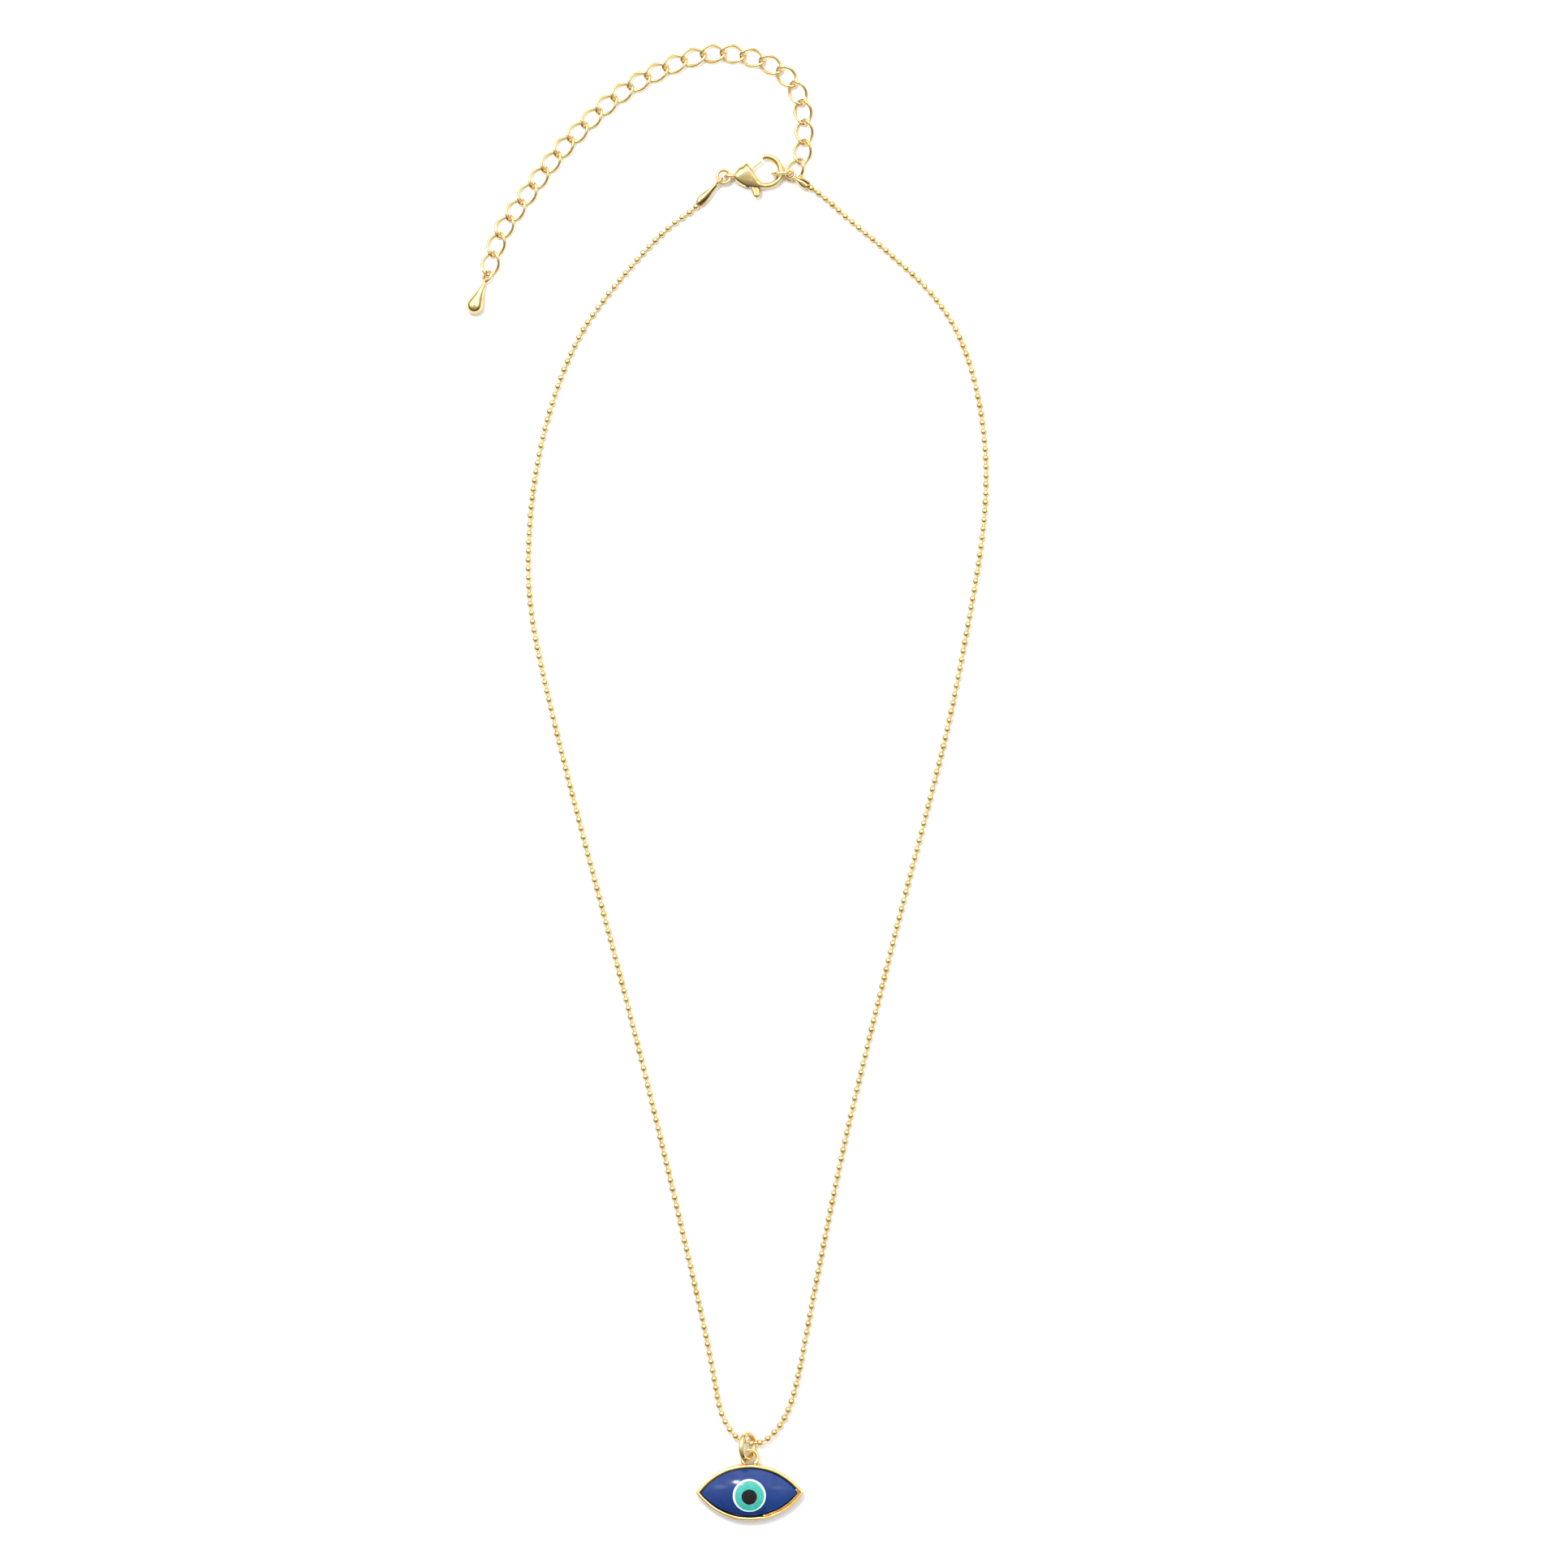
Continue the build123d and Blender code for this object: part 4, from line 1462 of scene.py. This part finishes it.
@dataclass(frozen=True)
class ClosureRings:
    """The ring behind the clasp, and the ring that the hook closes on."""

    clasp_ring: JumpRing = JumpRing(radius=1.0, wire=0.5, seam_at=-70.0, rows=90)
    closure_ring: JumpRing = JumpRing(radius=1.42, wire=0.5, seam_at=100.0, rows=100)
    yaw: float = 1.5
    lean: float = -2.0

    def build(self, shop: Workshop) -> None:
        """Makes both rings.

        Args:
            shop: The workshop.
        """
        flat = self.clasp_ring.skin(shop.centre("clasp_ring"), UP, (1.0, 0.0, 0.0))
        shop.piece("clasp_jump_ring", flat, Slot.RING, ["clasp_ring"])
        yaw, lean = radians(self.yaw), radians(self.lean)
        normal = (sin(yaw) * cos(lean), -cos(yaw) * cos(lean), sin(lean))
        upright = self.closure_ring.skin(shop.centre("closure_ring"), normal, (1.0, 0.0, 0.0))
        shop.piece("closure_jump_ring", upright, Slot.RING, ["closure_ring"])


# ---------------------------------------------------------------- extender


@dataclass(frozen=True)
class Extender:
    """Curb links of one size, each lying as its neighbours let it."""

    half_length: float = 1.86
    half_width: float = 1.26
    twist: float = 45.0
    wire: float = 0.47
    first_roll: float = -8.0
    first_pitch: float = 10.0
    rows: int = 96
    seam_depth: float = 0.03
    seam_turn: float = 0.25
    press: float = 0.97
    settling: int = 3

    def link(self) -> Skin:
        """One link about its own centre, long way on X.

        Formula: an ellipse whose plane is turned about X by the twist times the cosine of the turn, the other
        way at the other end. A butt seam, pressed in a little, crosses one long side.

        Returns:
            The link's skin.
        """
        turn = 2 * pi * np.arange(self.rows) / self.rows
        twist = -radians(self.twist) * np.cos(turn)
        across = self.half_width * np.sin(turn)
        path = np.stack([self.half_length * np.cos(turn), across * np.cos(twist), across * np.sin(twist)], -1)
        normals = np.stack([np.zeros_like(turn), -np.sin(twist), np.cos(twist)], -1)
        half = self.wire / 2 - self.seam_depth * bell(turn, pi / 2 + self.seam_turn, 0.05)
        return sweep(path, half, half * self.press, normals=normals, ring=True, columns=16)

    def lie(self, ahead: np.ndarray, hung: bool) -> np.ndarray:
        """How a link lies: level along its heading, or rolled and pitched where it hangs on the ring.

        Args:
            ahead: The level way from the link to its next joint.
            hung: Whether it hangs on the closure ring.

        Returns:
            Rows X, Y and Z of the link's axes.
        """
        roll = radians(self.first_roll) if hung else 0.0
        pitch = radians(self.first_pitch) if hung else 0.0
        level, up = unit(ahead), np.array(UP)
        side = np.cross(up, level)
        raised = up * cos(pitch) - level * sin(pitch)
        return np.stack([
            level * cos(pitch) + up * sin(pitch),
            side * cos(roll) + raised * sin(roll),
            raised * cos(roll) - side * sin(roll),
        ])

    def build(self, shop: Workshop) -> None:
        """Makes every link where the frame has it, headed to the next joint.

        A tilted link's box isn't centred on it, so its centre is found by laying it down, comparing its box
        with the node's, and doing that again from the better centre.

        Args:
            shop: The workshop.
        """
        nodes = sorted(node for node in shop.frame["nodes"] if node.startswith("extender_link"))
        joints = [f"{node.removeprefix('extender_')}_swing" for node in nodes[1:]] + ["teardrop_swing"]
        link = self.link()
        for node, joint in zip(nodes, joints):
            centre = shop.centre(node)
            for _ in range(self.settling):
                ahead = (shop.joint_at(joint) - centre) * np.array([1.0, 1.0, 0.0])
                axes = self.lie(ahead, node == nodes[0])
                centre = shop.centre(node) - link.placed((0.0, 0.0, 0.0), axes).middle()
            shop.piece(f"{node}_wire", link.placed(centre, axes), Slot.EXTENDER, [node])


@dataclass(frozen=True)
class Teardrop:
    """Solid cast drop with a ring at its neck."""

    length: float = 5.4
    bulb: float = 1.3
    loop: JumpRing = JumpRing(radius=0.8, wire=0.44, seam_at=180.0, seam_gap=0.0, rows=72)
    loop_roll: float = -45.0
    loop_z: float = 0.95
    heading: float = 247.0
    flank_rows: int = 40
    nose_rows: int = 24
    flank: tuple[Flat, ...] = (
        (0.24, 0.0), (0.28, 0.07), (0.35, 0.16), (0.48, 0.27), (0.67, 0.38), (0.92, 0.5), (1.14, 0.61),
        (1.26, 0.695), (1.3, 0.76),
    )

    def drop(self) -> Skin:
        """The drop about its own Z, from its neck down to its nose.

        Formula: a given flank of radius against share of length, then a quarter circle for the nose.

        Returns:
            The drop's skin.
        """
        flank = through(self.flank, self.flank_rows)
        slope = self.bulb / self.length
        centre = 1 - slope
        nose_turn = np.linspace(0.04, pi / 2 - 0.05, self.nose_rows)
        nose = np.stack([self.bulb * np.cos(nose_turn), centre + slope * np.sin(nose_turn)], -1)
        profile = np.vstack([flank[flank[:, 1] < centre], nose])
        profile[:, 1] = self.loop.radius + profile[:, 1] * self.length
        return turned(profile)

    def build(self, shop: Workshop) -> None:
        """Makes the charm where the frame has it.

        Args:
            shop: The workshop.
        """
        low = np.array(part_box("teardrop_charm")[0]) / MM
        away = heading(self.heading)
        reach = self.loop.radius + self.length - self.bulb
        nose = np.array([low[0] + self.bulb, low[1] + self.bulb, self.bulb])
        rise = (self.bulb - self.loop_z) / reach
        along = unit(away + np.array([0.0, 0.0, rise]))
        centre = nose - along * reach
        level = unit(np.cross(UP, along))
        upward = np.cross(along, level)
        roll = radians(self.loop_roll)
        ring = self.loop.skin(centre, upward * cos(roll) + level * sin(roll), along)
        drop = self.drop().placed(centre, axes_of(level, along))
        shop.piece("teardrop_drop", drop + ring, Slot.EXTENDER, ["teardrop_charm"])


# ---------------------------------------------------------------- studio


@dataclass(frozen=True)
class SoftBox:
    """Lamp behind a square or a round diffuser, aimed at a point of the table. Sizes are in millimetres."""

    name: str
    place: Point
    target: Point
    width: float
    depth: float
    power: float
    rounded: bool = False
    colour: str = "#ffffff"


@dataclass(frozen=True)
class Studio:
    """White table under soft boxes, with the camera looking straight down.

    Each shade of the sky has an axis, where a smooth step starts and ends on it, and the light at both.
    """

    view_centre: Flat = (5.25, 107.8)
    view_width: float = 239.0
    camera_height: float = 900.0
    sensor: float = 36.0
    table_size: float = 2400.0
    boxes: tuple[SoftBox, ...] = (
        SoftBox("strip_lamp", (-150.0, 335.0, 610.0), (0.0, 100.0, 0.0), 40.0, 90.0, 1.8),
        SoftBox("left_box", (-330.0, 160.0, 610.0), (0.0, 0.0, 0.0), 150.0, 150.0, 0.2, rounded=True),
        SoftBox("right_box", (310.0, 120.0, 630.0), (0.0, 0.0, 0.0), 150.0, 140.0, 0.15, rounded=True),
        SoftBox("window_box", (0.0, 900.0, 460.0), (0.0, 100.0, 0.0), 760.0, 360.0, 1.0),
    )
    sky_strength: float = 2.2
    sky_shades: tuple[tuple[str, float, float, float, float], ...] = (
        ("Z", 0.12, 0.8, 0.12, 1.0), ("Z", 0.995, 0.9, 0.6, 1.0), ("Y", -0.7, 0.62, 0.2, 1.25),
    )

    def table(self) -> None:
        """A plain white card, far larger than the view."""
        half = self.table_size / 2 * MM
        mesh = bpy.data.meshes.new("table_card")
        corners = [(-half, -half, 0), (half, -half, 0), (half, half, 0), (-half, half, 0)]
        mesh.from_pydata(corners, [], [(0, 1, 2, 3)])
        card = PlainFinish("coated_card", "#f1f1f1", "#ededed", 0.0, 0.7, 6.0, 0.01)
        mesh.materials.append(card.material())
        table = bpy.data.objects.new("table_card", mesh)
        bpy.context.scene.collection.objects.link(table)

    def lamps(self) -> None:
        """The soft boxes."""
        for box in self.boxes:
            lamp = bpy.data.lights.new(box.name, "AREA")
            lamp.shape = "ELLIPSE" if box.rounded else "RECTANGLE"
            lamp.size, lamp.size_y = box.width * MM, box.depth * MM
            lamp.energy = box.power
            lamp.color = linear(box.colour)[:3]
            holder = bpy.data.objects.new(box.name, lamp)
            away = unit(np.array(box.place) - np.array(box.target))
            axes = axes_of((1.0, 0.0, 0.0), away)
            place = Matrix(axes.T.tolist()).to_4x4()
            place.translation = np.array(box.place) * MM
            holder.matrix_world = place
            bpy.context.scene.collection.objects.link(holder)

    def sky(self) -> None:
        """Room light: a pale ring overhead, darker at its middle, low down and on the pendant's side.

        Formula: the strength times one smooth step for each shade.
        """
        world = bpy.data.worlds.new("studio_room")
        world.use_nodes = True
        tree = world.node_tree
        background = tree.nodes["Background"]
        place = add_node(tree, "ShaderNodeTexCoord").outputs["Generated"]
        way = add_node(tree, "ShaderNodeSeparateXYZ", {}, {"Vector": place})
        light: Any = self.sky_strength
        for axis, start, end, low, high in self.sky_shades:
            ends = {"From Min": start, "From Max": end, "To Min": low, "To Max": high}
            step = add_node(tree, SPAN, SMOOTH, {"Value": way.outputs[axis]} | ends)
            factors = {0: step.outputs["Result"], 1: light}
            light = add_node(tree, "ShaderNodeMath", {"operation": "MULTIPLY"}, factors).outputs["Value"]
        tree.links.new(light, background.inputs["Strength"])
        background.inputs["Color"].default_value = linear("#fbfcff")
        bpy.context.scene.world = world

    def camera(self) -> None:
        """The camera above the middle of the view, with +Y up in its picture."""
        lens = bpy.data.cameras.new("overhead_camera")
        lens.sensor_width = self.sensor
        lens.lens = self.sensor * self.camera_height / self.view_width
        camera = bpy.data.objects.new("overhead_camera", lens)
        camera.location = (self.view_centre[0] * MM, self.view_centre[1] * MM, self.camera_height * MM)
        bpy.context.scene.collection.objects.link(camera)
        bpy.context.scene.camera = camera

    def build(self) -> None:
        """Sets the table, the light and the camera, and plain colour reproduction."""
        self.table()
        self.lamps()
        self.sky()
        self.camera()
        bpy.context.scene.view_settings.view_transform = "Standard"
        bpy.context.scene.view_settings.look = "None"


def main() -> None:
    """Builds the necklace around the frame."""
    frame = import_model()
    Studio().build()
    shop = Workshop(frame, all_finishes())
    chain = BallChain()
    chain.build(shop)
    Pendant().build(shop)
    BailRing().build(shop)
    FoldedEnd("left_chain_crimp", chain.route[0], (-4.61, 199.5, 1.3), loop_flat=False).build(shop)
    FoldedEnd("right_chain_crimp", chain.route[-1], (6.2, 200.57, 1.5), loop_flat=True).build(shop)
    LobsterClasp().build(shop)
    ClosureRings().build(shop)
    Extender().build(shop)
    Teardrop().build(shop)


if __name__ == "__main__":
    logging.basicConfig(level=logging.INFO, format="%(message)s")
    main()
